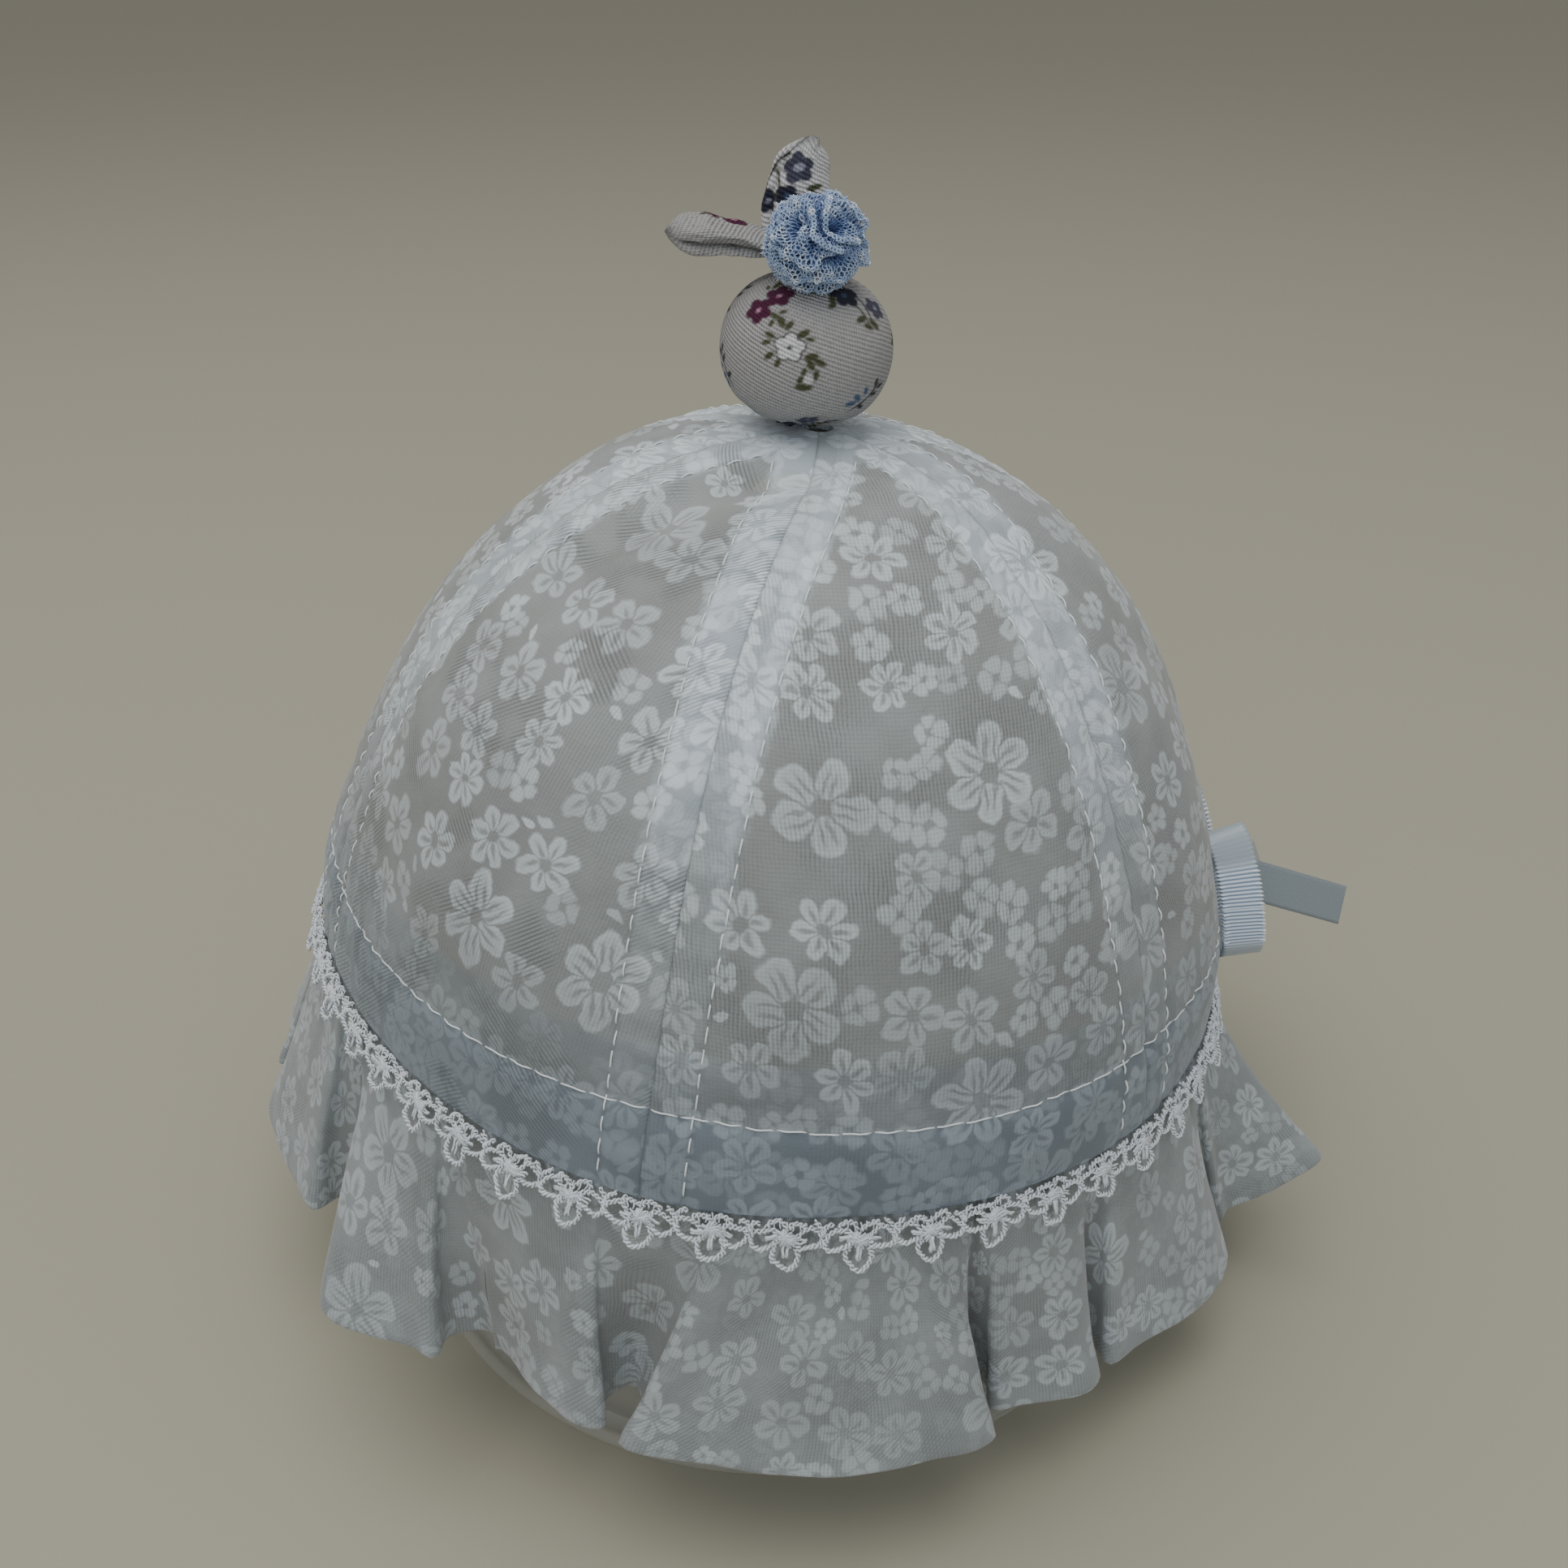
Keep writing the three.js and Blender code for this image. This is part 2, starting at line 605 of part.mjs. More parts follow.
// The whole object, moved so that the origin is under the middle of its box.
const wholeObject = new THREE.Group();
wholeObject.add(named("display_stand", displayStand(), materials.clearPlastic));
wholeObject.add(sunCap());
const box = new THREE.Box3().setFromObject(wholeObject, true);
const middle = box.getCenter(new THREE.Vector3());
wholeObject.position.set(-middle.x, -middle.y, 0);

const part = new THREE.Group();
part.add(wholeObject);
export default part;
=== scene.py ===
# Baby sun cap on a clear display stand: the looks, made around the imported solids.
import math

import bmesh
import bpy
import numpy as np
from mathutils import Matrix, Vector


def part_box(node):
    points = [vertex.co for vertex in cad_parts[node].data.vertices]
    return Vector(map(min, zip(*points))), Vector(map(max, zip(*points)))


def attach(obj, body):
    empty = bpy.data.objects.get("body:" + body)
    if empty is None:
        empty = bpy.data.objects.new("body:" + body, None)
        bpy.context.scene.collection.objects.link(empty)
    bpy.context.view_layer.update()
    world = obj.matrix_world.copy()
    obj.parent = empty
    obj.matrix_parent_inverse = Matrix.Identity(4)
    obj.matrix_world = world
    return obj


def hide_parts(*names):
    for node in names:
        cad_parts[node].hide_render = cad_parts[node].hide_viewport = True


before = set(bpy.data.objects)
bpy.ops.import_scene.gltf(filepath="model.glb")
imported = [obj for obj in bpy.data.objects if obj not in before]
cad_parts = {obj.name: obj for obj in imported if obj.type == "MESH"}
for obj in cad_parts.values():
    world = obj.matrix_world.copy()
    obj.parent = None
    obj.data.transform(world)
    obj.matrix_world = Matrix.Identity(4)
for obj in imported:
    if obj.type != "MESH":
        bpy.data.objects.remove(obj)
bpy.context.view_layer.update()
mm = 0.001


# ---- Sizes of the cap, in millimetres and degrees, about the middle of the crown's foot
cap = {
    "headRadius": 75.0,
    "crownHeight": 83.0,
    "acrossPower": 2.28,  # superellipse powers of the crown's side view
    "upPower": 1.47,
    "lean": 5.2,  # towards +X
    "footHeight": 62.9,  # above the table
    "standShift": (1.5, -1.3),  # from the cap's middle to the stand's
    "panelCount": 6,
    "firstSeam": -13.0,  # angles run from the front (-Y) towards +X
    "peakTwist": 12.0,  # how far the seams swing round near the peak
    "twistRadius": 28.0,
    "bandHeight": 12.9,  # from the foot up to the facing's stitch line
    "topstitch": 6.0,  # from a seam to each of its two stitch lines
    "give": 3.0,
    "giveAngle": -52.0,
    "giveWidth": 30.0,
}

standLow, standHigh = (np.array(corner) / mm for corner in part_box("display_stand"))
standMiddle = (standLow + standHigh) / 2
footCentre = np.array([
    standMiddle[0] - cap["standShift"][0],
    standMiddle[1] - cap["standShift"][1],
    cap["footHeight"],
])


# From the cap's own axes, whose up axis leans towards +X, to the part's.
def capToRow(points):
    x, y, z = np.moveaxis(np.asarray(points, float), -1, 0)
    x, z = turned(x, z, math.radians(cap["lean"]))
    return joined(x, y, z) + footCentre


# The same, for the sewn cloth: its foot gives way towards the head by a few millimetres at the front
# left. That fades out upwards along the crown and downwards along the ruffle.
def clothToRow(points):
    x, y, height = np.moveaxis(points, -1, 0)
    give = cap["give"] * bell(np.degrees(np.arctan2(x, -y)) - cap["giveAngle"], cap["giveWidth"])
    give = give * ease(-height, -48, 0) * ease(height, -36, -4)
    inward = 1 - give / np.maximum(np.hypot(x, y), 1)
    return capToRow(points * joined(inward, inward, 1))


# ---- Shape helpers
def joined(*parts):
    return np.stack(np.broadcast_arrays(*parts), -1)


def flatList(points):
    return points.reshape(-1, points.shape[-1])


# x and y as they are in axes turned by an angle in radians.
def turned(x, y, angle):
    return x * math.cos(angle) + y * math.sin(angle), y * math.cos(angle) - x * math.sin(angle)


# radius times (sin, -cos) of the angle, at a height
def polar(angle, radius, height):
    turn = np.radians(angle)
    return joined(radius * np.sin(turn), -radius * np.cos(turn), height)


def wholeTurn(count):
    return np.arange(count) * 2 * np.pi / count


# Rows of a ball's grid, from its lower to its upper pole without either.
def ballRises(rows):
    return np.linspace(-np.pi / 2, np.pi / 2, rows + 2)[1:-1, None]


# How far along a path each of its points lies.
def lengthAlong(path):
    steps = np.linalg.norm(np.diff(path, axis=0), axis=1)
    return np.concatenate([[0], np.cumsum(steps)])


def unit(vectors):
    return vectors / np.maximum(np.linalg.norm(vectors, axis=-1, keepdims=True), 1e-9)


# 0 before low, 1 after high, easing between them: 3t^2 - 2t^3
def ease(value, low, high):
    share = np.clip((value - low) / (high - low), 0, 1)
    return share * share * (3 - 2 * share)


# exp(-(value / width)^2)
def bell(value, width):
    return np.exp(-(value / width) ** 2)


# Sum of sine waves whose headings and phases are drawn from a seed, between about -1 and 1.
def ripple(points, size, seed, waves=9):
    random = np.random.default_rng(seed)
    headings = unit(random.normal(size=(waves, points.shape[-1])))
    stretches = random.uniform(0.7, 1.5, waves)
    phases = random.uniform(0, 2 * np.pi, waves)
    total = np.zeros(points.shape[:-1])
    for heading, stretch, phase in zip(headings, stretches, phases):
        total += np.sin(points @ heading * (2 * np.pi * stretch / size) + phase)
    return total * (1.6 / waves)


# A curve through knots (x, y) whose slope at each knot is that between its neighbours.
def smoothThrough(x, knotsX, knotsY):
    knotsX, knotsY = np.asarray(knotsX, float), np.asarray(knotsY, float)
    slopes = np.gradient(knotsY, knotsX)
    index = np.clip(np.searchsorted(knotsX, x) - 1, 0, len(knotsX) - 2)
    span = knotsX[index + 1] - knotsX[index]
    t = np.clip((x - knotsX[index]) / span, 0, 1)
    before = (2 * t**3 - 3 * t**2 + 1) * knotsY[index] + (t**3 - 2 * t**2 + t) * span * slopes[index]
    after = (3 * t**2 - 2 * t**3) * knotsY[index + 1] + (t**3 - t**2) * span * slopes[index + 1]
    return before + after


# Quads between the rows and columns of a grid of points.
def gridFaces(rows, columns, wrapRows=False, wrapColumns=False, first=0):
    row = np.arange(rows if wrapRows else rows - 1)[:, None]
    column = np.arange(columns if wrapColumns else columns - 1)[None, :]
    nextRow, nextColumn = (row + 1) % rows, (column + 1) % columns
    corners = [
        row * columns + column,
        nextRow * columns + column,
        nextRow * columns + nextColumn,
        row * columns + nextColumn,
    ]
    return np.stack(corners, -1).reshape(-1, 4) + first


# The faces of a cloth wall: a front grid, a back grid and the four edges between them. Also tells
# which points lie on the front's rim (1) and on the back's (2).
def wallFaces(rows, columns):
    count = rows * columns
    front = gridFaces(rows, columns)
    back = gridFaces(rows, columns, first=count)[:, ::-1]
    rim = np.concatenate([
        np.arange(columns),
        np.arange(1, rows) * columns + columns - 1,
        (rows - 1) * columns + np.arange(columns - 2, -1, -1),
        np.arange(rows - 2, 0, -1) * columns,
    ])
    follow = np.roll(rim, -1)
    edge = np.stack([rim, follow, follow + count, rim + count], -1)
    rims = np.zeros(2 * count, int)
    rims[rim], rims[rim + count] = 1, 2
    return [front, back, edge], rims


# A tube of closed rings with a point at each end.
def tubeFaces(rings, sides):
    side = np.arange(sides)
    follow = (side + 1) % sides
    start, end = rings * sides, rings * sides + 1
    last = (rings - 1) * sides
    fans = [joined(start, side, follow), joined(end, last + follow, last + side)]
    return [gridFaces(rings, sides, wrapColumns=True), np.concatenate(fans)]


# Many round threads at once. Each path is a row of points, and each ring of a thread stands square
# to its path, from the path's heading and a vector that points away from the cloth.
def threads(paths, away, radius, sides):
    heading = unit(np.gradient(paths, axis=1))
    side = unit(np.cross(heading, away))
    rise = np.cross(side, heading)
    turn = wholeTurn(sides)[:, None]
    ring = side[:, :, None] * np.cos(turn) + rise[:, :, None] * np.sin(turn)
    points = flatList(paths[:, :, None] + ring * radius)
    count, steps = paths.shape[:2]
    body = gridFaces(steps, sides, wrapColumns=True)
    starts = (np.arange(count) * steps * sides)[:, None, None]
    ends = np.arange(sides)[None, :]
    caps = np.concatenate([
        ends + starts[:, 0],
        ends[:, ::-1] + starts[:, 0] + (steps - 1) * sides,
    ])
    return points, [flatList(body[None] + starts), caps]


# Joins parts, each of points with quads and triangles, into one.
def mergedParts(parts):
    starts = np.cumsum([0] + [len(points) for points, _ in parts])
    faces = [
        np.concatenate([sets[kind] + first for (_, sets), first in zip(parts, starts)])
        for kind in (0, 1)
    ]
    return np.concatenate([points for points, _ in parts]), faces


# Puts points (in millimetres) and faces into a mesh object, with its cloth coordinates and marks. Edges
# between points of the same rim are sharp.
def makePiece(name, points, faceSets, material, slot, replaced=(), **look):
    mesh = bpy.data.meshes.new(name)
    points = np.ascontiguousarray(points.reshape(-1, 3), float)
    mesh.vertices.add(len(points))
    mesh.vertices.foreach_set("co", (points * mm).ravel())
    corners = np.concatenate([faces.ravel() for faces in faceSets])
    sizes = np.concatenate([np.full(len(faces), faces.shape[1]) for faces in faceSets])
    mesh.loops.add(len(corners))
    mesh.loops.foreach_set("vertex_index", corners)
    mesh.polygons.add(len(sizes))
    mesh.polygons.foreach_set("loop_start", np.concatenate([[0], np.cumsum(sizes)[:-1]]))
    if "cloth" in look:
        layer = mesh.uv_layers.new(name="cloth")
        layer.data.foreach_set("uv", flatList(look["cloth"])[corners].ravel() / 100)
    for label, values in look.get("marks", {}).items():
        mark = mesh.attributes.new(label, "FLOAT", "POINT")
        mark.data.foreach_set("value", np.ascontiguousarray(values, float).ravel())
    if "paint" in look:
        colours = mesh.color_attributes.new("paint", "FLOAT_COLOR", "POINT")
        opaque = np.concatenate([flatList(look["paint"]), np.ones((len(points), 1))], 1)
        colours.data.foreach_set("color", opaque.ravel())
    mesh.update(calc_edges=True)
    mesh.validate()
    shape = bmesh.new()
    shape.from_mesh(mesh)
    bmesh.ops.recalc_face_normals(shape, faces=shape.faces)
    shape.to_mesh(mesh)
    shape.free()
    mesh.polygons.foreach_set("use_smooth", np.ones(len(mesh.polygons), bool))
    if "rims" in look:
        pairs = np.empty(len(mesh.edges) * 2, np.int32)
        mesh.edges.foreach_get("vertices", pairs)
        start, end = look["rims"][pairs.reshape(-1, 2)].T
        sharp = mesh.attributes.get("sharp_edge")
        sharp = sharp or mesh.attributes.new("sharp_edge", "BOOLEAN", "EDGE")
        sharp.data.foreach_set("value", (start == end) & (start > 0))
    mesh.materials.append(material)
    piece = bpy.data.objects.new(name, mesh)
    bpy.context.scene.collection.objects.link(piece)
    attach(piece, "root")
    if replaced:
        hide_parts(*replaced)
    return piece


# ---- Camera, floor and light
view = {
    "offset": (2.47, -226.1, 151.5),  # from the middle of the crown's foot, in millimetres
    "lookDown": 29.72,
    "angle": 53.0,
}


def makeCamera():
    camera = bpy.data.objects.new("camera", bpy.data.cameras.new("camera"))
    camera.data.angle = math.radians(view["angle"])
    camera.data.clip_start = 0.01
    camera.location = (footCentre + np.array(view["offset"])) * mm
    camera.rotation_euler = (math.radians(90 - view["lookDown"]), 0, 0)
    bpy.context.scene.collection.objects.link(camera)
    bpy.context.scene.camera = camera


studio = {
    "floorSize": 8.0,
    "floorColour": (0.385, 0.366, 0.288, 1),
    "skyColour": (0.74, 0.73, 0.7, 1),
    "skyStrength": 0.5,
    # name, place in metres, size in metres, watts, colour; each aims at the cap
    "lamps": [
        ("overheadLamp", (-0.22, -0.1, 1.3), 1.5, 11.8, (1, 0.985, 0.95)),
        ("frontLamp", (-0.15, -1.4, 0.75), 1.4, 6.9, (0.87, 0.96, 1.06)),
        ("rightLamp", (1.3, -0.3, 0.5), 1.0, 1.1, (0.8, 0.95, 1.15)),
    ],
}


def makeStudio():
    half = studio["floorSize"] / 2
    corners = [(-half, -half, 0), (half, -half, 0), (half, half, 0), (-half, half, 0)]
    mesh = bpy.data.meshes.new("floor")
    mesh.from_pydata(corners, [], [(0, 1, 2, 3)])
    floor = bpy.data.objects.new("floor", mesh)
    bpy.context.scene.collection.objects.link(floor)
    look = {"Roughness": 0.6, "Base Color": studio["floorColour"]}
    material = newMaterial("paleFloor", look)[0]
    mesh.materials.append(material)
    world = bpy.data.worlds.new("studio")
    bpy.context.scene.world = world
    world.use_nodes = True
    sky = world.node_tree.nodes["Background"]
    sky.inputs["Color"].default_value = studio["skyColour"]
    sky.inputs["Strength"].default_value = studio["skyStrength"]
    for name, place, size, power, colour in studio["lamps"]:
        lamp = bpy.data.objects.new(name, bpy.data.lights.new(name, "AREA"))
        lamp.data.shape = "DISK"
        lamp.data.size = size
        lamp.data.energy = power
        lamp.data.color = colour
        lamp.location = place
        aim = Vector(footCentre * mm - np.array(place))
        lamp.rotation_euler = aim.to_track_quat("-Z", "Y").to_euler()
        bpy.context.scene.collection.objects.link(lamp)


# ---- Material helpers
# An output of a node. Sums of it with numbers and with other outputs add Math nodes.
class Signal:
    def __init__(self, socket):
        self.socket = socket
        self.tree = socket.id_data

    def __add__(self, other):
        return calc("ADD", self, other)

    def __sub__(self, other):
        return calc("SUBTRACT", self, other)

    def __rsub__(self, other):
        return calc("SUBTRACT", other, self)

    def __mul__(self, other):
        return calc("MULTIPLY", self, other)

    def __truediv__(self, other):
        return calc("DIVIDE", self, other)

    def __rtruediv__(self, other):
        return calc("DIVIDE", other, self)

    def __pow__(self, other):
        return calc("POWER", self, other)

    def __gt__(self, other):
        return calc("GREATER_THAN", self, other)

    def __lt__(self, other):
        return calc("LESS_THAN", self, other)

    def __abs__(self):
        return calc("ABSOLUTE", self)

    __radd__ = __add__
    __rmul__ = __mul__


def newMaterial(name, look):
    material = bpy.data.materials.new(name)
    material.use_nodes = True
    tree = material.node_tree
    shader = tree.nodes["Principled BSDF"]
    for socket, value in look.items():
        shader.inputs[socket].default_value = value
    return material, tree, shader


def plug(socket, value):
    if isinstance(value, Signal):
        value.tree.links.new(value.socket, socket)
    else:
        socket.default_value = value


# A node in the tree that its signals come from, with a value for each input that is named.
def addNode(kind, inputs):
    tree = next(value.tree for value in inputs.values() if isinstance(value, Signal))
    node = tree.nodes.new("ShaderNode" + kind)
    for place, value in inputs.items():
        plug(node.inputs[place], value)
    return node


def calc(operation, *values):
    node = addNode("Math", dict(enumerate(values)))
    node.operation = operation
    return Signal(node.outputs[0])


def larger(first, second):
    return calc("MAXIMUM", first, second)


def move(operation, first, second=None):
    node = addNode("VectorMath", {0: first})
    node.operation = operation
    if second is not None:
        plug(node.inputs["Scale" if operation == "SCALE" else 1], second)
    return Signal(node.outputs["Value" if operation == "LENGTH" else "Vector"])


# Eases from 0 to 1 as the value goes from low to high, or from 1 to 0 where low is the higher.
def fade(value, low, high):
    node = addNode("MapRange", dict(enumerate((value, low, high, 0.0, 1.0))))
    node.interpolation_type = "SMOOTHSTEP"
    return Signal(node.outputs[0])


def blendColour(factor, first, second):
    tree = next(value.tree for value in (factor, first, second) if isinstance(value, Signal))
    node = tree.nodes.new("ShaderNodeMix")
    node.data_type = "RGBA"
    for place, value in ((0, factor), (6, first), (7, second)):
        plug(node.inputs[place], value)
    return Signal(node.outputs[2])


def noiseNode(spot, detail):
    return addNode("TexNoise", {"Vector": spot, "Scale": 1.0, "Detail": detail})


def noise(spot, size, detail=2.0):
    return Signal(noiseNode(move("SCALE", spot, 1 / size), detail).outputs["Fac"])


# Gives a shader its colour, if any, and a bump of a height pattern that is depth millimetres deep.
def dress(shader, colour, height, depth):
    if colour is not None:
        plug(shader.inputs["Base Color"], colour)
    node = addNode("Bump", {"Strength": 1.0, "Distance": depth * mm, "Height": height})
    plug(shader.inputs["Normal"], Signal(node.outputs["Normal"]))


def splitXY(spot):
    node = addNode("SeparateXYZ", {0: spot})
    return Signal(node.outputs[0]), Signal(node.outputs[1])


# The piece's own cloth coordinates, in millimetres.
def clothSpot(tree):
    node = tree.nodes.new("ShaderNodeUVMap")
    node.uv_map = "cloth"
    return move("SCALE", Signal(node.outputs[0]), 100.0)


def objectSpot(tree):
    node = tree.nodes.new("ShaderNodeTexCoord")
    return move("SCALE", Signal(node.outputs["Object"]), 1 / mm)


def markOf(tree, label):
    node = tree.nodes.new("ShaderNodeAttribute")
    node.attribute_name = label
    return Signal(node.outputs["Fac"])


# ---- Flower print of the voile: white flowers of three sizes and leaves, scattered one to a cell
voilePrint = {
    "big": {
        "cell": 31.0, "radius": 6.9, "petals": 5.0, "full": 1.8, "slits": 2,
        "shift": 3.0, "jitter": 0.7, "dropped": 0.4,
    },
    "medium": {
        "cell": 10.0, "radius": 4.5, "petals": 5.0, "full": 1.8, "slits": 1,
        "shift": 17.0, "jitter": 0.55, "dropped": 0.18,
    },
    "small": {
        "cell": 5.7, "radius": 2.8, "petals": 4.0, "full": 2.1, "slits": 0,
        "shift": 41.0, "jitter": 0.5, "dropped": 0.0,
    },
    "leaf": {"cell": 3.4, "radius": 2.0, "shift": 73.0, "jitter": 0.6, "dropped": 0.05},
    "wander": 0.6,  # how far shapes stray from a drawn outline
    "softness": 0.6,
    "rimmed": 0.2,  # how much fainter a petal is inside its rim
    "snug": 1.18,  # a flower's radius in shares of the room in its cell
    "smallest": 0.6,  # a flower with less room than this share of its radius is left out
    "closeness": 0.5,  # how near smaller shapes come, in shares of their radius
    "stray": 0.3,
    "faintest": 0.64,  # the strength of a shape's print, and how much more it may have
    "strongest": 0.46,
}


# The nearest cell point of a layer: the way from it, its place, its flower's radius (as much as its
# cell has room for), whether it is drawn, and three random numbers of its own.
def scatter(spot, layer):
    shift = (layer["shift"], layer["shift"] * 1.7, 0)
    place = move("SCALE", move("ADD", spot, shift), 1 / layer["cell"])
    inputs = {"Vector": place, "Scale": 1.0, "Randomness": layer["jitter"]}
    cells, rooms = (addNode("TexVoronoi", inputs) for _ in range(2))
    cells.voronoi_dimensions = rooms.voronoi_dimensions = "2D"
    rooms.feature = "N_SPHERE_RADIUS"
    centre = Signal(cells.outputs["Position"])
    way = move("SCALE", move("SUBTRACT", place, centre), layer["cell"])
    back = move("SUBTRACT", move("SCALE", centre, layer["cell"]), shift)
    room = Signal(rooms.outputs["Radius"]) * (layer["cell"] * voilePrint["snug"])
    radius = calc("MINIMUM", room, layer["radius"])
    parts = addNode("SeparateColor", {0: Signal(cells.outputs["Color"])})
    chances = [Signal(output) for output in parts.outputs]
    kept = (chances[0] > layer["dropped"]) * (radius > voilePrint["smallest"] * layer["radius"])
    return way, back, radius, kept, chances


# 1 where a place keeps clear of the flowers of a larger layer.
def clearOf(place, layer, distance):
    way, _, radius, kept, _ = scatter(place, layer)
    near = move("LENGTH", way) < radius + distance
    return 1.0 - near * kept


# How far out a spot is in a rounded oval: ((x / halfLong)^p + (y / halfWide)^p)^(1 / p).
def oval(x, y, halfLong, halfWide, power=2.0):
    along = abs(x / halfLong) ** power
    across = abs(y / halfWide) ** power
    return (along + across) ** (1 / power)


# A flower on a disc of radius 1: the angle round it is folded into one petal, a rounded drop that
# narrows towards the heart, with slits near its foot.
def flower(way, layer, chances):
    x, y = splitXY(way)
    soft = voilePrint["softness"] / layer["radius"]
    petals = layer["petals"] + calc("ROUND", chances[2] * 0.75)
    angle = calc("ARCTAN2", y, x) + chances[1] * (2 * math.pi)
    counted = angle * petals / (2 * math.pi)
    share = calc("FRACT", counted) - 0.5
    folded = share * (2 * math.pi) / petals
    uneven = calc("SINE", calc("FLOOR", counted) * 2.4)
    reach = move("LENGTH", way) * (uneven * 0.06 + 1.04)
    along = reach * calc("COSINE", folded)
    across = reach * calc("SINE", folded)
    narrow = fade(along, 0.1, 0.7) * 0.42 + 0.58
    halfWide = layer["full"] / petals * narrow
    out = oval(along - 0.59, across, 0.42, halfWide, 2.4)
    petal = fade(out, 1.0 + 1.3 * soft, 1.0 - 2.0 * soft)
    petal = petal * (1.0 - fade(out, 0.95, 0.6) * voilePrint["rimmed"])
    if layer["slits"] == 0:
        return petal * (1.0 - fade(reach, 0.34, 0.14) * 0.6)
    spread = 0.1 if layer["slits"] == 2 else 0.0
    slit = oval(along - 0.47, abs(across) - spread, 0.2, 0.032 if spread else 0.055)
    return petal * (1.0 - larger(fade(slit, 2.2, 0.5) * 0.8, fade(reach, 0.24, 0.16)))


# The place, led astray a little, so that no shape has a drawn outline.
def strayed(spot):
    stray = noiseNode(move("SCALE", spot, voilePrint["stray"]), 3.0)
    astray = move("SUBTRACT", Signal(stray.outputs["Color"]), (0.5, 0.5, 0.5))
    return move("ADD", spot, move("SCALE", astray, 4 * voilePrint["wander"]))


def flowerPrint(spot, names=("big", "medium", "small", "leaf")):
    printed = 0.0
    for index, name in enumerate(names):
        layer = voilePrint[name]
        way, place, radius, kept, chances = scatter(spot, layer)
        for other in names[:index]:
            kept = kept * clearOf(place, voilePrint[other], voilePrint["closeness"] * layer["radius"])
        way = move("SCALE", way, 1.0 / radius)
        shape = leafShape(way, chances) if name == "leaf" else flower(way, layer, chances)
        strength = chances[2] * voilePrint["strongest"] + voilePrint["faintest"]
        printed = larger(printed, shape * kept * strength)
    return printed


def leafShape(way, chances):
    x, y = splitXY(way)
    reach = move("LENGTH", way)
    angle = calc("ARCTAN2", y, x) + chances[1] * (2 * math.pi)
    along = reach * calc("COSINE", angle)
    across = reach * calc("SINE", angle)
    return fade(oval(along, across, 1.0, 0.5, 1.7), 1.15, 0.7)


# ---- Materials
voileLook = {
    "single": (0.224, 0.236, 0.231, 1),  # one layer of voile, with the dim inside behind it
    "singlePrint": (0.54, 0.59, 0.62, 1),
    "double": (0.345, 0.393, 0.43, 1),  # where a seam allowance lies behind it
    "doublePrint": (0.67, 0.73, 0.775, 1),
    "band": (0.148, 0.18, 0.21, 1),
    "bandPrint": (0.385, 0.445, 0.495, 1),
    "gap": (0.06, 0.07, 0.07, 1),
    "throughFoot": 0.89,  # how much light comes through the cloth at its foot
    "throughTop": 0.36,  # and how much more near the peak
    "roughness": 0.75,
    "threadPitch": 0.56,
    "dragPitch": 0.58,
    "allowance": 6.2,  # from a seam to the cut edge behind the cloth
    "underlap": 4.6,  # from a seam to the edge of the strip turned back at its right
    "facingTop": 21.5,  # from the foot to the cut edge of the facing behind the cloth
}


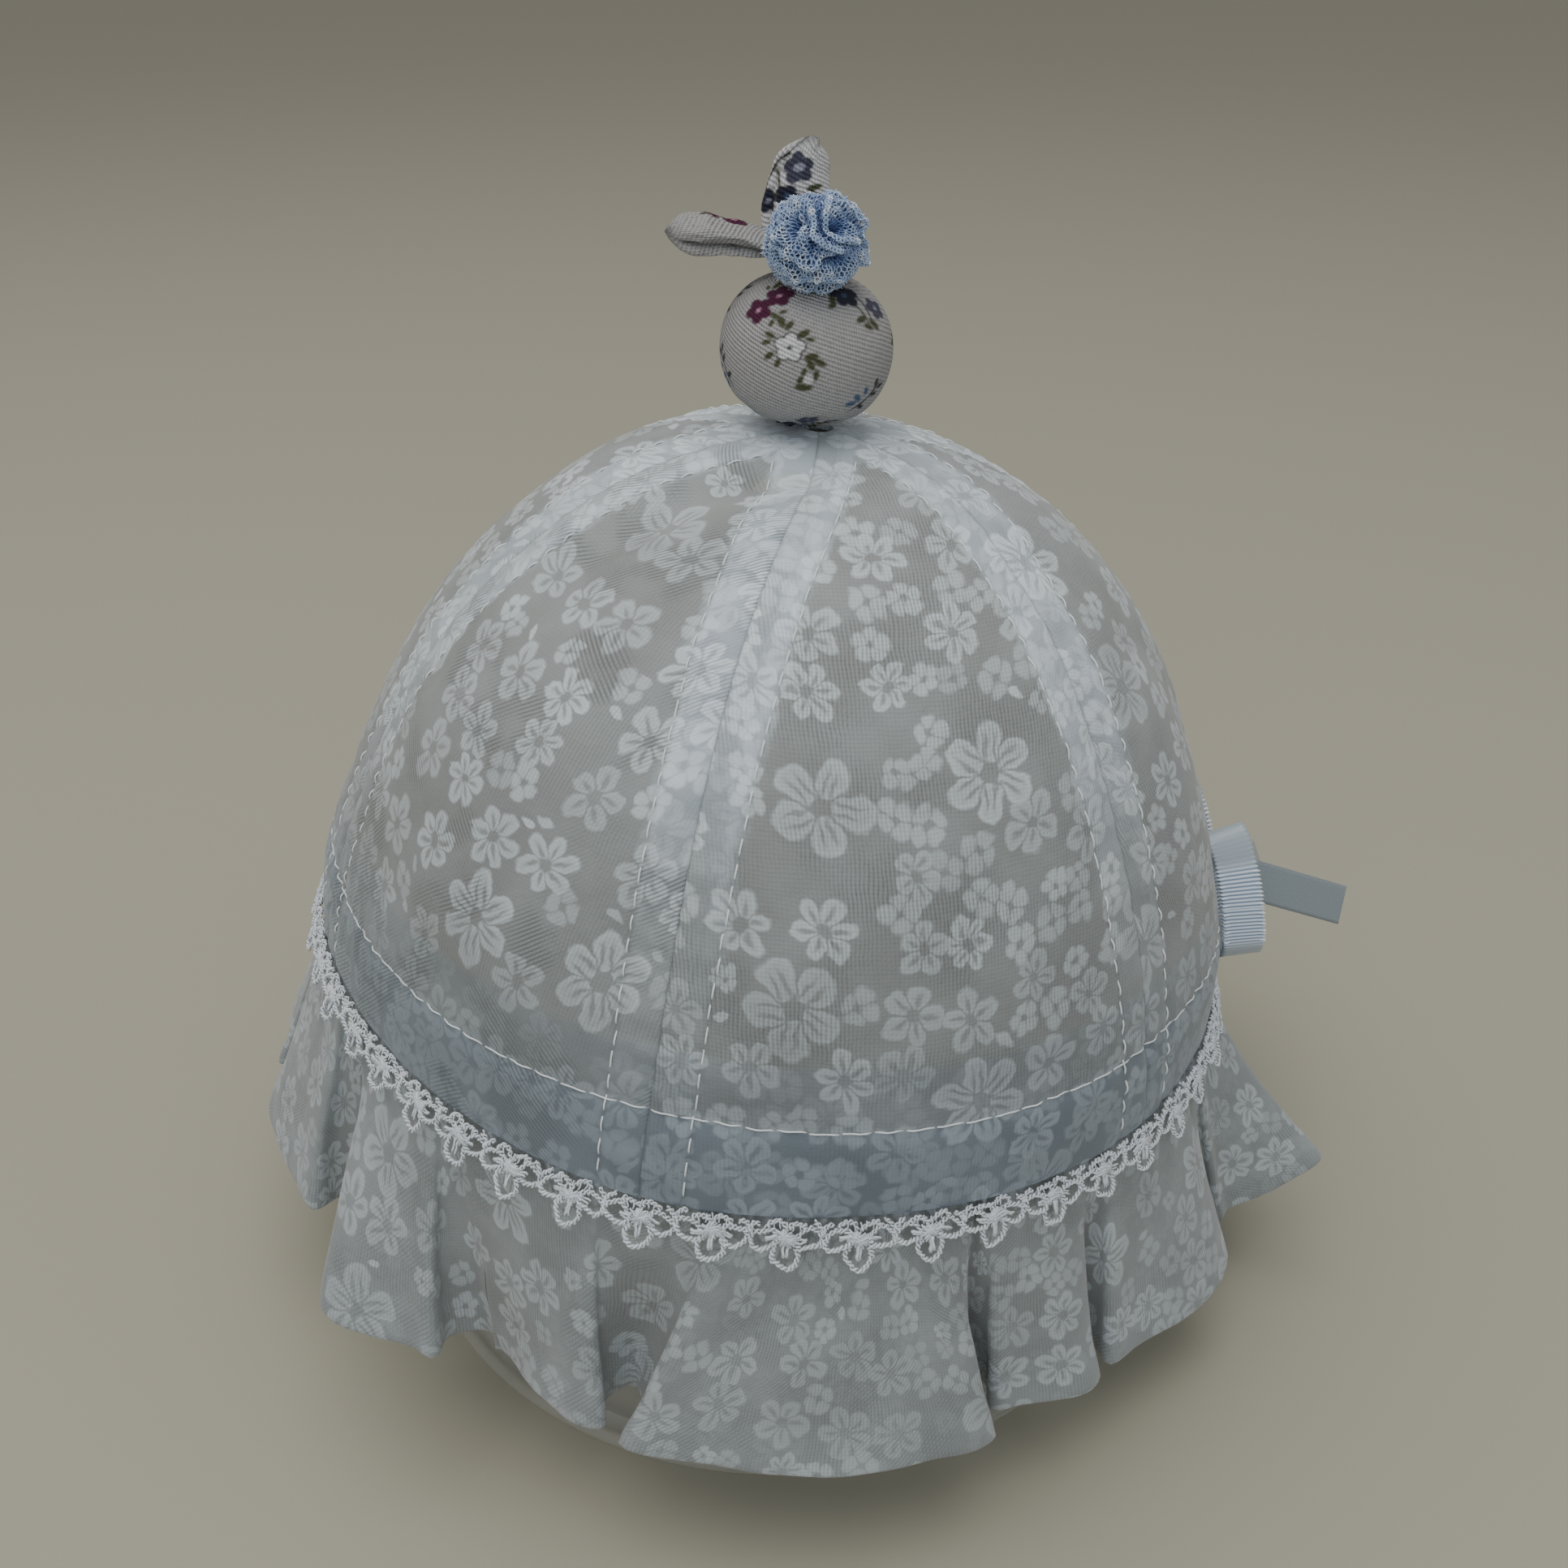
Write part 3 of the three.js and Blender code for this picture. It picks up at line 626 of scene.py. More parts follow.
# The cloth carries these numbers: seam and foot, the distances from the nearest seam and up from the
# foot; side, 1 on a seam's right; layers, how much more cloth lies behind, and on the ruffle also painted
# light and shade, more on its folds and less in its hollows; faint, how much the print fades; and pulled,
# how strongly the cloth is pulled on the bias.
def voileMaterial():
    material, tree, shader = newMaterial("voile", {
        "Roughness": voileLook["roughness"],
        "Sheen Weight": 0.25,
        "Specular IOR Level": 0.3,
    })
    spot = clothSpot(tree)
    seam, foot, side, layers, faint, pulled = (
        markOf(tree, label) for label in ("seam", "foot", "side", "layers", "faint", "pulled")
    )
    uneven = noise(spot, 2.6, 3.0)
    cloud = fade(noise(spot, 15.0, 3.0), 0.36, 0.66)
    ragged = noise(spot, 6.0, 3.0) * 3.0 + seam
    allowance = fade(ragged, voileLook["allowance"] + 2.4, voileLook["allowance"] + 0.6)
    fold = fade(ragged, voileLook["underlap"], voileLook["underlap"] - 0.4) * side * 0.3
    # The seam allowances show less towards the foot, partly as painted light falling from above.
    upper = fade(foot, 22.0, 66.0)
    double = allowance * (upper * 0.86 + 0.12) * (1.0 - fold) + layers
    raggedFoot = uneven * 2.5 + foot
    band = fade(foot, cap["bandHeight"] + 0.5, cap["bandHeight"] - 0.3)
    under = fade(raggedFoot, voileLook["facingTop"] + 2.4, voileLook["facingTop"] + 0.4)
    band = larger(band, under * 0.4)
    several = calc("MINIMUM", double + band, 1.0)
    ground = blendColour(double, voileLook["single"], voileLook["double"])
    ground = blendColour(band, ground, voileLook["band"])
    ink = blendColour(double, voileLook["singlePrint"], voileLook["doublePrint"])
    ink = blendColour(band, ink, voileLook["bandPrint"])
    astray = strayed(spot)
    mirrored = move("MULTIPLY", astray, (-1.0, 1.0, 0.0))
    behind = flowerPrint(move("ADD", mirrored, (31.0, 57.0, 0.0)), ("medium", "small"))
    behind = behind * several * 0.42 + cloud * 0.14
    printed = flowerPrint(astray) * (1.0 - faint) * (cloud * 0.22 + 0.82)
    colour = blendColour(larger(printed, behind), ground, ink)
    # Painted light: the colour is scaled up from the foot towards the peak, as if more light came through
    # the cloth there.
    through = fade(foot, 0.0, 95.0) * voileLook["throughTop"] + voileLook["throughFoot"]
    colour = move("SCALE", colour, through)
    gaps = openWeave(spot) * (several * -0.5 + 0.85) * (pulled * -0.5 + 1.0)
    drag = dragLines(spot) * pulled
    seamLine = fade(seam, 0.42, 0.05) * uneven * 0.55
    turnedEdge = fade(abs(ragged - voileLook["underlap"] - 0.3), 0.5, 0.1) * side * 0.14
    # Darkened cloth along each stitch line: needle holes, and painted shade of the puckers beside them.
    stitchHolesAndShade = fade(abs(seam - cap["topstitch"]), 0.8, 0.15) * uneven * 0.42
    shade = larger(drag * 0.8, gaps) + seamLine + turnedEdge + stitchHolesAndShade
    dark = blendColour(0.65, colour, voileLook["gap"])
    colour = blendColour(calc("MINIMUM", shade, 1.0), colour, dark)
    dress(shader, colour, noise(spot, 1.1, 3.0) - gaps * 0.4 - drag * 0.6, 0.1)
    return material


# Plain weave: 1 - |sin| in each thread direction is highest in the gaps between threads. Threads
# wander a little, and in some places the gaps of one direction stand open.
def openWeave(spot):
    x, y = splitXY(spot)
    turn = math.pi / voileLook["threadPitch"]
    stray = noise(spot, 5.0) * 0.9
    upright, level = (1.0 - abs(calc("SINE", (along + stray) * turn)) for along in (x, y))
    area = fade(noise(move("ADD", spot, (40.0, 9.0, 0.0)), 12.0), 0.38, 0.64)
    slub = noise(spot, 0.9, 3.0) * 1.2 + 0.3
    return (upright * (area * 0.85 + 0.2) + level * 0.28) * slub


# Fine lines where the cloth is pulled on the bias: valleys of a sine wave whose direction wanders,
# leaning one way in some places and the other way in others, and left out between them.
def dragLines(spot):
    x, y = splitXY(spot)
    turn = 2 * math.pi / voileLook["dragPitch"]
    area = noise(move("ADD", spot, (7.0, 61.0, 0.0)), 24.0, 1.0)
    bent = noise(spot, 20.0, 1.0) * 22.0 + noise(spot, 2.4) * 1.6
    lines = []
    for across, down, low, high in ((0.7, 0.72, 0.47, 0.56), (0.55, -0.83, 0.4, 0.33)):
        slant = x * (across * turn) + y * (down * turn) + bent
        lines.append(fade(calc("SINE", slant), -0.3, 0.9) * fade(area, low, high))
    patches = fade(noise(spot, 7.0, 3.0), 0.36, 0.58) * 0.8 + 0.2
    return larger(*lines) * patches


# Looks of the other materials: colours, sizes of their patterns in millimetres and shader values.
plainLooks = {
    "facing": {"dull": (0.3, 0.34, 0.37, 1), "pale": (0.42, 0.46, 0.49, 1), "clouds": 8.0, "grain": 0.8},
    "sewingThread": {"dull": (0.7, 0.73, 0.74, 1), "pale": (0.86, 0.88, 0.88, 1), "grain": 0.5},
    "laceCotton": {"dull": (0.56, 0.61, 0.66, 1), "pale": (0.9, 0.93, 0.97, 1), "grain": 0.35},
    "linen": {"twill": 0.6, "cross": 0.4, "dark": (0.05, 0.048, 0.05, 1)},
    "tulle": {
        "deepest": (0.025, 0.065, 0.27, 1), "deep": (0.1, 0.19, 0.45, 1),
        "outer": (0.36, 0.48, 0.7, 1), "frosted": (0.85, 0.9, 0.95, 1),
    },
    "ribbon": {
        "groove": (0.24, 0.325, 0.48, 1), "crest": (0.76, 0.86, 0.96, 1), "bead": (0.98, 0.99, 1.0, 1),
        "plainDull": (0.155, 0.187, 0.207, 1), "plainPale": (0.27, 0.314, 0.337, 1),
    },
    "clear": {"colour": (0.76, 0.75, 0.68, 1), "shellAlpha": 0.18, "rimAlpha": 0.19, "waves": 14.0},
}


def facingMaterial():
    look = plainLooks["facing"]
    material, tree, shader = newMaterial("facingCloth", {"Roughness": 0.8, "Sheen Weight": 0.2})
    spot = objectSpot(tree)
    colour = blendColour(noise(spot, look["clouds"]), look["dull"], look["pale"])
    dress(shader, colour, noise(spot, look["grain"], 3.0), 0.08)
    return material


def cottonMaterial(name):
    look = plainLooks[name]
    material, tree, shader = newMaterial(name, {
        "Roughness": 0.42,
        "Sheen Weight": 0.3,
        "Specular IOR Level": 0.6,
    })
    speck = noise(objectSpot(tree), look["grain"], 3.0)
    dress(shader, blendColour(speck, look["dull"], look["pale"]), speck, 0.06)
    return material


# Twill: strong lines a little off level, crossed by finer threads.
def linenMaterial():
    look = plainLooks["linen"]
    material, tree, shader = newMaterial("linen", {
        "Roughness": 0.85,
        "Sheen Weight": 0.04,
        "Specular IOR Level": 0.15,
    })
    node = tree.nodes.new("ShaderNodeVertexColor")
    node.layer_name = "paint"
    paint = Signal(node.outputs[0])
    spot = clothSpot(tree)
    x, y = splitXY(spot)
    stray = noise(spot, 2.5) * 2.6
    slant = x * 0.3 + y
    lines = calc("SINE", slant * (2 * math.pi / look["twill"]) + stray)
    cross = calc("SINE", y * 3.0 + x * (2 * math.pi / look["cross"]))
    raised = lines * 0.32 + cross * 0.18 + 0.5
    slub = noise(spot, 0.8, 3.0)
    shade = (1.0 - raised) * (slub * 1.2 + 0.15)
    colour = blendColour(shade, paint, blendColour(0.6, paint, look["dark"]))
    dress(shader, colour, raised * 1.5 + slub, 0.16)
    return material


# Darker deep in the pompom, partly the stacked net's own colour and partly painted shade, with painted
# highlights in places on the outside.
def tulleMaterial():
    look = plainLooks["tulle"]
    material, tree, shader = newMaterial("tulle", {
        "Roughness": 0.5,
        "Sheen Weight": 0.3,
        "Specular IOR Level": 0.5,
    })
    depth = markOf(tree, "depth")
    spot = objectSpot(tree)
    deep = blendColour(fade(depth, 0.0, 0.4), look["deepest"], look["deep"])
    colour = blendColour(fade(depth, 0.3, 0.95), deep, look["outer"])
    # Painted highlights: whitish patches on the outermost net.
    white = fade(noise(spot, 1.3, 3.0), 0.5, 0.64) * fade(depth, 0.6, 1.0)
    colour = blendColour(white * 0.85, colour, look["frosted"])
    dress(shader, colour, noise(spot, 0.3), 0.05)
    return material


# The right side has ribs with painted highlights on their crests and on the beads at their edges and painted
# shade in their grooves, and the dull side shows next to none. The dull mark also brings in the plainer,
# darker colour as painted shade where the loops bend away at their top and bottom.
def ribbonMaterial():
    look = plainLooks["ribbon"]
    material, tree, shader = newMaterial("grosgrain", {
        "Roughness": 0.32,
        "Sheen Weight": 0.3,
        "Specular IOR Level": 0.7,
    })
    fine = noise(clothSpot(tree), 0.45, 3.0)
    rib, dull = markOf(tree, "rib"), markOf(tree, "dull")
    colour = blendColour(fade(rib, 0.1, 0.7), look["groove"], look["crest"])
    colour = blendColour(fade(rib, 0.85, 1.3), colour, look["bead"])
    plain = blendColour(rib * 0.25 + fine * 0.4, look["plainDull"], look["plainPale"])
    dress(shader, blendColour(dull, colour, plain), fine, 0.04)
    return material


def clearPlasticMaterial(name, alpha):
    look = plainLooks["clear"]
    material, tree, shader = newMaterial(name, {
        "Base Color": look["colour"],
        "Roughness": 0.12,
        "IOR": 1.5,
        "Alpha": alpha,
        "Specular IOR Level": 0.7,
    })
    dress(shader, None, noise(objectSpot(tree), look["waves"]), 0.25)
    return material


# ---- Crown
# Side view: radius R sin(climb)^(2/across), height H cos(climb)^(2/up), from the peak to the foot,
# tabulated by length down the cloth.
climbs = np.linspace(1e-4, np.pi / 2, 900)
profileRadius = cap["headRadius"] * np.sin(climbs) ** (2 / cap["acrossPower"])
profileHeight = cap["crownHeight"] * np.cos(climbs) ** (2 / cap["upPower"])
profileSteps = np.hypot(np.diff(profileRadius), np.diff(profileHeight))
profileDown = np.concatenate([[0], np.cumsum(profileSteps)])
crownLength = profileDown[-1]

crown = {
    "peakHole": 2.2,
    "rows": 112,
    "columns": 72,
    "thickness": 0.9,
    "puff": 0.7,  # how much a panel stands out between its seams
    "ditch": 0.24,  # depth of the groove at a seam
    "ditchWidth": 0.6,
    "stitchDip": 0.2,
    "pucker": 0.16,
    "fullSide": 1.5,  # the wearer's left side is fuller below the peak
    "fading": (0.2, 0.2, 0.3, 0.3, 0.3, 0.45),  # how far each panel's print fades towards the band
    "pulled": (0.15, 0.3, 0.5, 0.4, 0.6, 1.0),  # how strongly each panel is pulled on the bias
}

# Soft creases pressed into the crown: from and to are (panels round from the front seam, millimetres
# down from the peak), with the width and depth of the crease.
crownCreases = [
    {"start": (-0.16, 16), "end": (-0.72, 48), "width": 5.0, "depth": 2.7},
    {"start": (0.05, 98), "end": (0.42, 104), "width": 2.2, "depth": 0.35},
    {"start": (0.1, 108), "end": (0.8, 106), "width": 3.0, "depth": 0.45},
    {"start": (-0.9, 96), "end": (-0.25, 107), "width": 3.2, "depth": 0.4},
    {"start": (-0.1, 100), "end": (0.1, 101), "width": 1.0, "depth": 0.4},
    {"start": (1.15, 40), "end": (1.6, 80), "width": 6.0, "depth": 0.7},
    {"start": (2.2, 50), "end": (2.7, 95), "width": 6.0, "depth": 0.7},
    {"start": (3.6, 35), "end": (3.2, 80), "width": 7.0, "depth": 0.8},
    {"start": (4.3, 104), "end": (4.8, 100), "width": 3.0, "depth": 0.4},
    {"start": (0.5, 60), "end": (0.75, 92), "width": 6.0, "depth": 0.45},
]


def seamAngle(around, radius):
    twist = cap["peakTwist"] * bell(radius, cap["twistRadius"])
    return cap["firstSeam"] + twist + around * (360 / cap["panelCount"])


def panelWidth(down):
    return np.interp(down, profileDown, profileRadius) * math.radians(360 / cap["panelCount"])


# The bare crown: its profile turned about the cap's axis, with the outward direction.
def bareCrown(around, down):
    radius = np.interp(down, profileDown, profileRadius)
    height = np.interp(down, profileDown, profileHeight)
    slopeRadius = np.interp(down, profileDown, np.gradient(profileRadius, profileDown))
    slopeHeight = np.interp(down, profileDown, np.gradient(profileHeight, profileDown))
    angle = seamAngle(around, radius)
    return polar(angle, radius, height), unit(polar(angle, -slopeHeight, slopeRadius)), angle, radius


# The crown with its panels' puff, seam grooves, stitch dips, puckers and creases. rise lifts a point
# off the cloth.
def crownPoint(around, down, rise=0.0):
    around, down = np.broadcast_arrays(np.asarray(around, float), np.asarray(down, float))
    points, outward, angle, radius = bareCrown(around, down)
    share = around % 1
    width = panelWidth(down)
    seamDistance = np.minimum(share, 1 - share) * width
    away = seamDistance - cap["topstitch"]
    upper = ease(down, 10, 30)
    lift = crown["puff"] * 4 * share * (1 - share) * upper * ease(crownLength - down, 0, 14)
    lift = lift - crown["ditch"] * bell(seamDistance, crown["ditchWidth"]) * ease(radius, 4, 12)
    stitchWave = 1 + 0.5 * np.cos(down * 2 * np.pi / 3.6)
    lift = lift - crown["stitchDip"] * bell(away, 0.7) * stitchWave * upper
    gather = np.sin(down * 1.25 + ripple(points, 30, 3) * 3) * bell(seamDistance - 3, 3.5)
    lift = lift + crown["pucker"] * gather * upper
    bandDown = crownLength - cap["bandHeight"]
    lift = lift - 0.25 * bell(down - bandDown, 0.8) + 0.2 * ease(down, bandDown, bandDown + 2)
    lift = lift + 0.14 * np.sin(around * 6 * 23 + ripple(points, 25, 8) * 2.5) * bell(down - bandDown, 5)
    lift = lift + 0.55 * ripple(points, 46, 5) * upper + 0.12 * ripple(points, 11, 6) * upper
    lift = lift + crown["fullSide"] * bell(angle - 75, 42) * bell(down - 52, 30)
    for crease in crownCreases:
        lift = lift - pressed(points, outward, crease)
    return points + outward * (lift + rise)[..., None]


# Depth of a crease at points: a bell across the line from its start to its end, fading at both ends.
def pressed(points, outward, crease):
    ends = bareCrown(*np.array([crease["start"], crease["end"]]).T)[0]
    way = ends[1] - ends[0]
    length = np.linalg.norm(way)
    along = (points - ends[0]) @ way / length**2
    aside = points - ends[0] - np.clip(along, 0, 1)[..., None] * way
    aside = aside - (aside * outward).sum(-1, keepdims=True) * outward
    return crease["depth"] * bell(np.linalg.norm(aside, axis=-1), crease["width"])


def makeCrown(material):
    rows, columns = crown["rows"], crown["columns"]
    even = np.linspace(0, 1, columns)
    share = 0.6 * even + 0.4 * (0.5 - 0.5 * np.cos(np.pi * even))
    down = np.linspace(crown["peakHole"], crownLength, rows)[:, None]
    for index in range(cap["panelCount"]):
        seam = 0.02 / panelWidth(down)
        around = index + seam + share * (1 - 2 * seam)
        front = crownPoint(around, down)
        back = crownPoint(around, down, -crown["thickness"])
        width = panelWidth(down)
        grain = math.radians(4 * math.sin(index * 2.3))
        flat = turned((share - 0.5) * width, down, -grain)
        cloth = joined(*flat) + [57 * index, 31 * index]
        marks = {
            "seam": np.minimum(share, 1 - share) * width,
            "foot": crownLength - down,
            "side": ease(-share, -0.55, -0.45),
            "layers": 0,
            "faint": crown["fading"][index] * ease(down, 84, 108),
            "pulled": crown["pulled"][index],
        }
        bothFaces = lambda values: np.tile(np.broadcast_to(values, width.shape[:1] + share.shape).ravel(), 2)
        faces, rims = wallFaces(rows, columns)
        panel = makePiece(
            f"voile_panel_{index + 1}", clothToRow(np.concatenate([front, back])),
            faces, material, "voile", [f"crown_panel_{index + 1}"],
            cloth=np.concatenate([cloth, cloth]), rims=rims,
            marks={label: bothFaces(values) for label, values in marks.items()},
        )


facing = {
    "width": 13,
    "radius": 73,
    "front": 1.3,  # how far inside the crown's outside its faces lie
    "back": 2.2,
    "rows": 16,
    "columns": 180,
}


def makeFacing(material):
    rows, columns, width = facing["rows"], facing["columns"], facing["width"]
    down = np.linspace(crownLength - width, crownLength, rows)[:, None]
    around = np.arange(columns) * cap["panelCount"] / columns
    front = crownPoint(around, down, -facing["front"])
    back = crownPoint(around, down, -facing["back"])
    loop = np.concatenate([front, back[::-1]])
    piece = makePiece("facing_band", clothToRow(loop), [gridFaces(2 * rows, columns, True, True)],
                      material, "facing", ["inside_facing"])


# ---- Stitches: short threads that rise from the cloth, lie on it and go down again
sewing = {
    "seamStitch": 2.3,
    "seamGap": 0.8,
    "bandStitch": 3.8,
    "bandGap": 0.4,
    "radius": 0.13,
    "firstDown": 13.0,
    "rise": 0.26,  # of a stitch's middle, from its ends below the cloth's face
    "sunk": 0.08,
}


def makeStitches(material):
    random = np.random.default_rng(11)
    steps = np.linspace(0, 1, 6)
    rise = sewing["rise"] * np.sin(np.pi * steps) - sewing["sunk"]
    paths, away = [], []

    def sew(around, down):
        paths.append(crownPoint(around, down, rise))
        away.append(bareCrown(around, down)[1])

    pitch = sewing["seamStitch"] + sewing["seamGap"]
    for seam in range(cap["panelCount"]):
        for hand in (-1, 1):
            starts = np.arange(sewing["firstDown"], crownLength - 2, pitch)
            starts = starts + random.uniform(-0.15, 0.15, len(starts))
            lengths = sewing["seamStitch"] * random.uniform(0.88, 1.08, len(starts))
            down = np.minimum(starts[:, None] + lengths[:, None] * steps, crownLength - 0.3)
            aside = cap["topstitch"] + random.uniform(-0.12, 0.12, (len(starts), 1))
            sew(seam + hand * aside / panelWidth(down), down)
    ring = 2 * np.pi * cap["headRadius"] * 0.965
    pitch = sewing["bandStitch"] + sewing["bandGap"]
    count = int(ring / pitch)
    starts = np.arange(count) + random.uniform(-0.03, 0.03, count)
    share = sewing["bandStitch"] / pitch
    around = (starts[:, None] + share * steps) * cap["panelCount"] / count
    sew(around, crownLength - cap["bandHeight"] + random.uniform(-0.1, 0.1, (count, 1)) + 0 * around)
    points, faces = threads(np.concatenate(paths), np.concatenate(away), sewing["radius"], 6)
    makePiece("topstitching", clothToRow(points), faces, material, "lace")


# ---- Ruffle
# One row for each hanging fold, from the left of the back round past the front: its sides at the hem
# in degrees, the hem's distance from the cap's axis at each side and in the hollow after it, and
# where its sides leave the gathered edge.
ruffleFolds = [
    # start, end, startReach, endReach, tuck, gatherStart, gatherEnd
    (-116, -87, 91, 86, 78, -108, -89),
    (-84, -62, 85, 81, 68, -84, -66),
    (-48, -35, 87, 81, 71, -57, -40),
    (-31, -14.5, 73.5, 79.2, 70.5, -35, -18),
    (-12, 27, 81, 83.5, 70, -5, 21),
    (28.8, 41.5, 79, 83.5, 73, 24.5, 38),
    (43.8, 66, 83, 89, 80, 42, 64),
    (70.5, 80.5, 87, 101, 86, 68, 78),
    (84.5, 98, 93, 90, 82, 81, 93),
    (103, 126, 95, 91, 74, 98, 122),
    (131, 152, 89, 87, 70, 130, 150),
    (157, 183, 87, 89, 72, 158, 181),
    (189, 208, 87, 86, 69, 190, 209),
    (213, 239, 89, 91, 79, 216, 243),
]

ruffle = {
    "length": 42.0,
    "edgeRadius": 74.6,
    "gap": 0.3,
    "neck": 1.2,  # degrees that a fold's sides turn back under it
    "shoulderDrop": 1.0,
    "flare": 1.18,
    "columns": 800,
    "rows": 52,
    "backRows": 16,
    "thickness": 1.1,
    "hemThickness": 1.6,
    # layers: painted light and shade, how much lighter the ruffle's cloth is on its folds than in its
    # hollows
    "layers": 0.21,
    "hemLifts": [(72, 6, 1.0)],  # degrees round, width in degrees, rise of the hem
}


# Closed centripetal Catmull-Rom curve: between two points, a cubic whose end slopes come from the
# neighbours, weighted by the square roots of the distances.
def closedCurve(knots, shares):
    knots = np.asarray(knots, float)
    count = len(knots)
    place = shares * count
    index = np.floor(place).astype(int)
    t = (place - index)[:, None]
    before, start, end, after = (knots[(index + step) % count] for step in (-1, 0, 1, 2))
    root = lambda way: np.maximum((way**2).sum(-1), 1e-8)[:, None] ** 0.25
    first, middle, last = root(start - before), root(end - start), root(after - end)
    leave = (start - before) / first - (end - before) / (first + middle) + (end - start) / middle
    arrive = (end - start) / middle - (after - start) / (middle + last) + (after - end) / last
    leave, arrive = leave * middle, arrive * middle
    return (
        start + leave * t
        + (3 * (end - start) - 2 * leave - arrive) * t**2
        + (2 * (start - end) + leave + arrive) * t**3
    )


def ruffleCurves(shares):
    hem, edge = [], []
    previousTuck = ruffleFolds[-1][4]
    neck, drop = ruffle["neck"], ruffle["shoulderDrop"]
    for index, fold in enumerate(ruffleFolds):
        start, end, startReach, endReach, tuck, gatherStart, gatherEnd = fold
        isLast = index == len(ruffleFolds) - 1
        follow = ruffleFolds[0] if isLast else ruffleFolds[index + 1]
        around = 360 if isLast else 0
        gathered = lambda share: gatherStart + (gatherEnd - gatherStart) * share
        along = lambda share: start + (end - start) * share
        for angle, reach, gatherAngle in (
            (start + neck, (previousTuck + startReach) / 2, gathered(-0.04)),
            (start, startReach - drop, gathered(0.06)),
            (along(0.2), startReach, gathered(0.24)),
            (along(0.5), (startReach + endReach) / 2 + 0.4, gathered(0.5)),
            (along(0.8), endReach, gathered(0.76)),
            (end, endReach - drop, gathered(0.94)),
            (end - neck, (tuck + endReach) / 2, gathered(1.04)),
            ((end + follow[0] + around) / 2, tuck, (gatherEnd + follow[5] + around) / 2),
        ):
            hem.append(polar(angle, reach, 0.0))
            edge.append(polar(gatherAngle, ruffle["edgeRadius"], 0.0))
        previousTuck = tuck
    return closedCurve(hem, shares), closedCurve(edge, shares)


# Each column runs from the gathered edge to the hem: it goes outwards as place^flare and falls by the
# drop that the cloth's length leaves. Gathers and soft creases are pushed along the outward direction.
def ruffleGrid(columns, places):
    fine = np.linspace(0, 1, 8001)[:-1]
    fineHem = ruffleCurves(fine)[0]
    lengths = np.linalg.norm(np.roll(fineHem, -1, 0) - fineHem, axis=1)
    alongFine = np.concatenate([[0], np.cumsum(lengths)])
    hemLength = alongFine[-1]
    along = np.arange(columns) * hemLength / columns
    shares = np.interp(along, alongFine, np.append(fine, 1.0))
    low, high = ruffleCurves(shares)
    reach = np.linalg.norm(low, axis=-1)
    edgeRadius = ruffle["edgeRadius"]
    drop = np.sqrt(ruffle["length"] ** 2 - (reach - edgeRadius) ** 2)
    place = places[:, None]
    spread = place ** ruffle["flare"]
    points = high * (1 - spread[..., None]) + low * spread[..., None]
    points = unit(points) * (edgeRadius + (reach - edgeRadius) * spread)[..., None]
    points[..., 2] = -ruffle["gap"] - drop * place
    outward = unit(np.cross(np.gradient(points, axis=0), wrapGradient(points)))
    if outward[0, 0] @ points[0, 0] < 0:
        outward = -outward
    down = place * ruffle["length"]
    flat = joined(along, down)
    turn = along * 2 * np.pi / hemLength
    ringRadius = hemLength / 6.283
    ringSpot = joined(ringRadius * np.cos(turn), ringRadius * np.sin(turn), down)
    gather = np.sin(along * 2 * np.pi / 4.4 + 2.2 * ripple(ringSpot, 26, 21)) * bell(down, 6.5)
    wider = np.sin(along * 2 * np.pi / 7.3 + 2.5 * ripple(ringSpot, 40, 22)) * bell(down, 14)
    gather = gather + 0.6 * wider
    stretched = ringSpot * np.array([1, 1, 0.16])
    crease = ripple(stretched, 15, 23) * ease(place, 0.05, 0.5)
    lift = 0.62 * gather * ease(down, -2, 2.5) + 0.5 * crease + 0.25 * ripple(ringSpot, 13, 24) * place
    points = points + outward * lift[..., None]
    points[..., 2] += 0.5 * ripple(ringSpot, 24, 25) * place**3
    lowAngle = np.degrees(np.arctan2(low[:, 0], -low[:, 1]))
    for angle, width, lift in ruffle["hemLifts"]:
        points[..., 2] += lift * bell(lowAngle - angle, width) * place**2
    return points, outward, flat, hemLength


def wrapGradient(points):
    return np.roll(points, -1, axis=1) - np.roll(points, 1, axis=1)


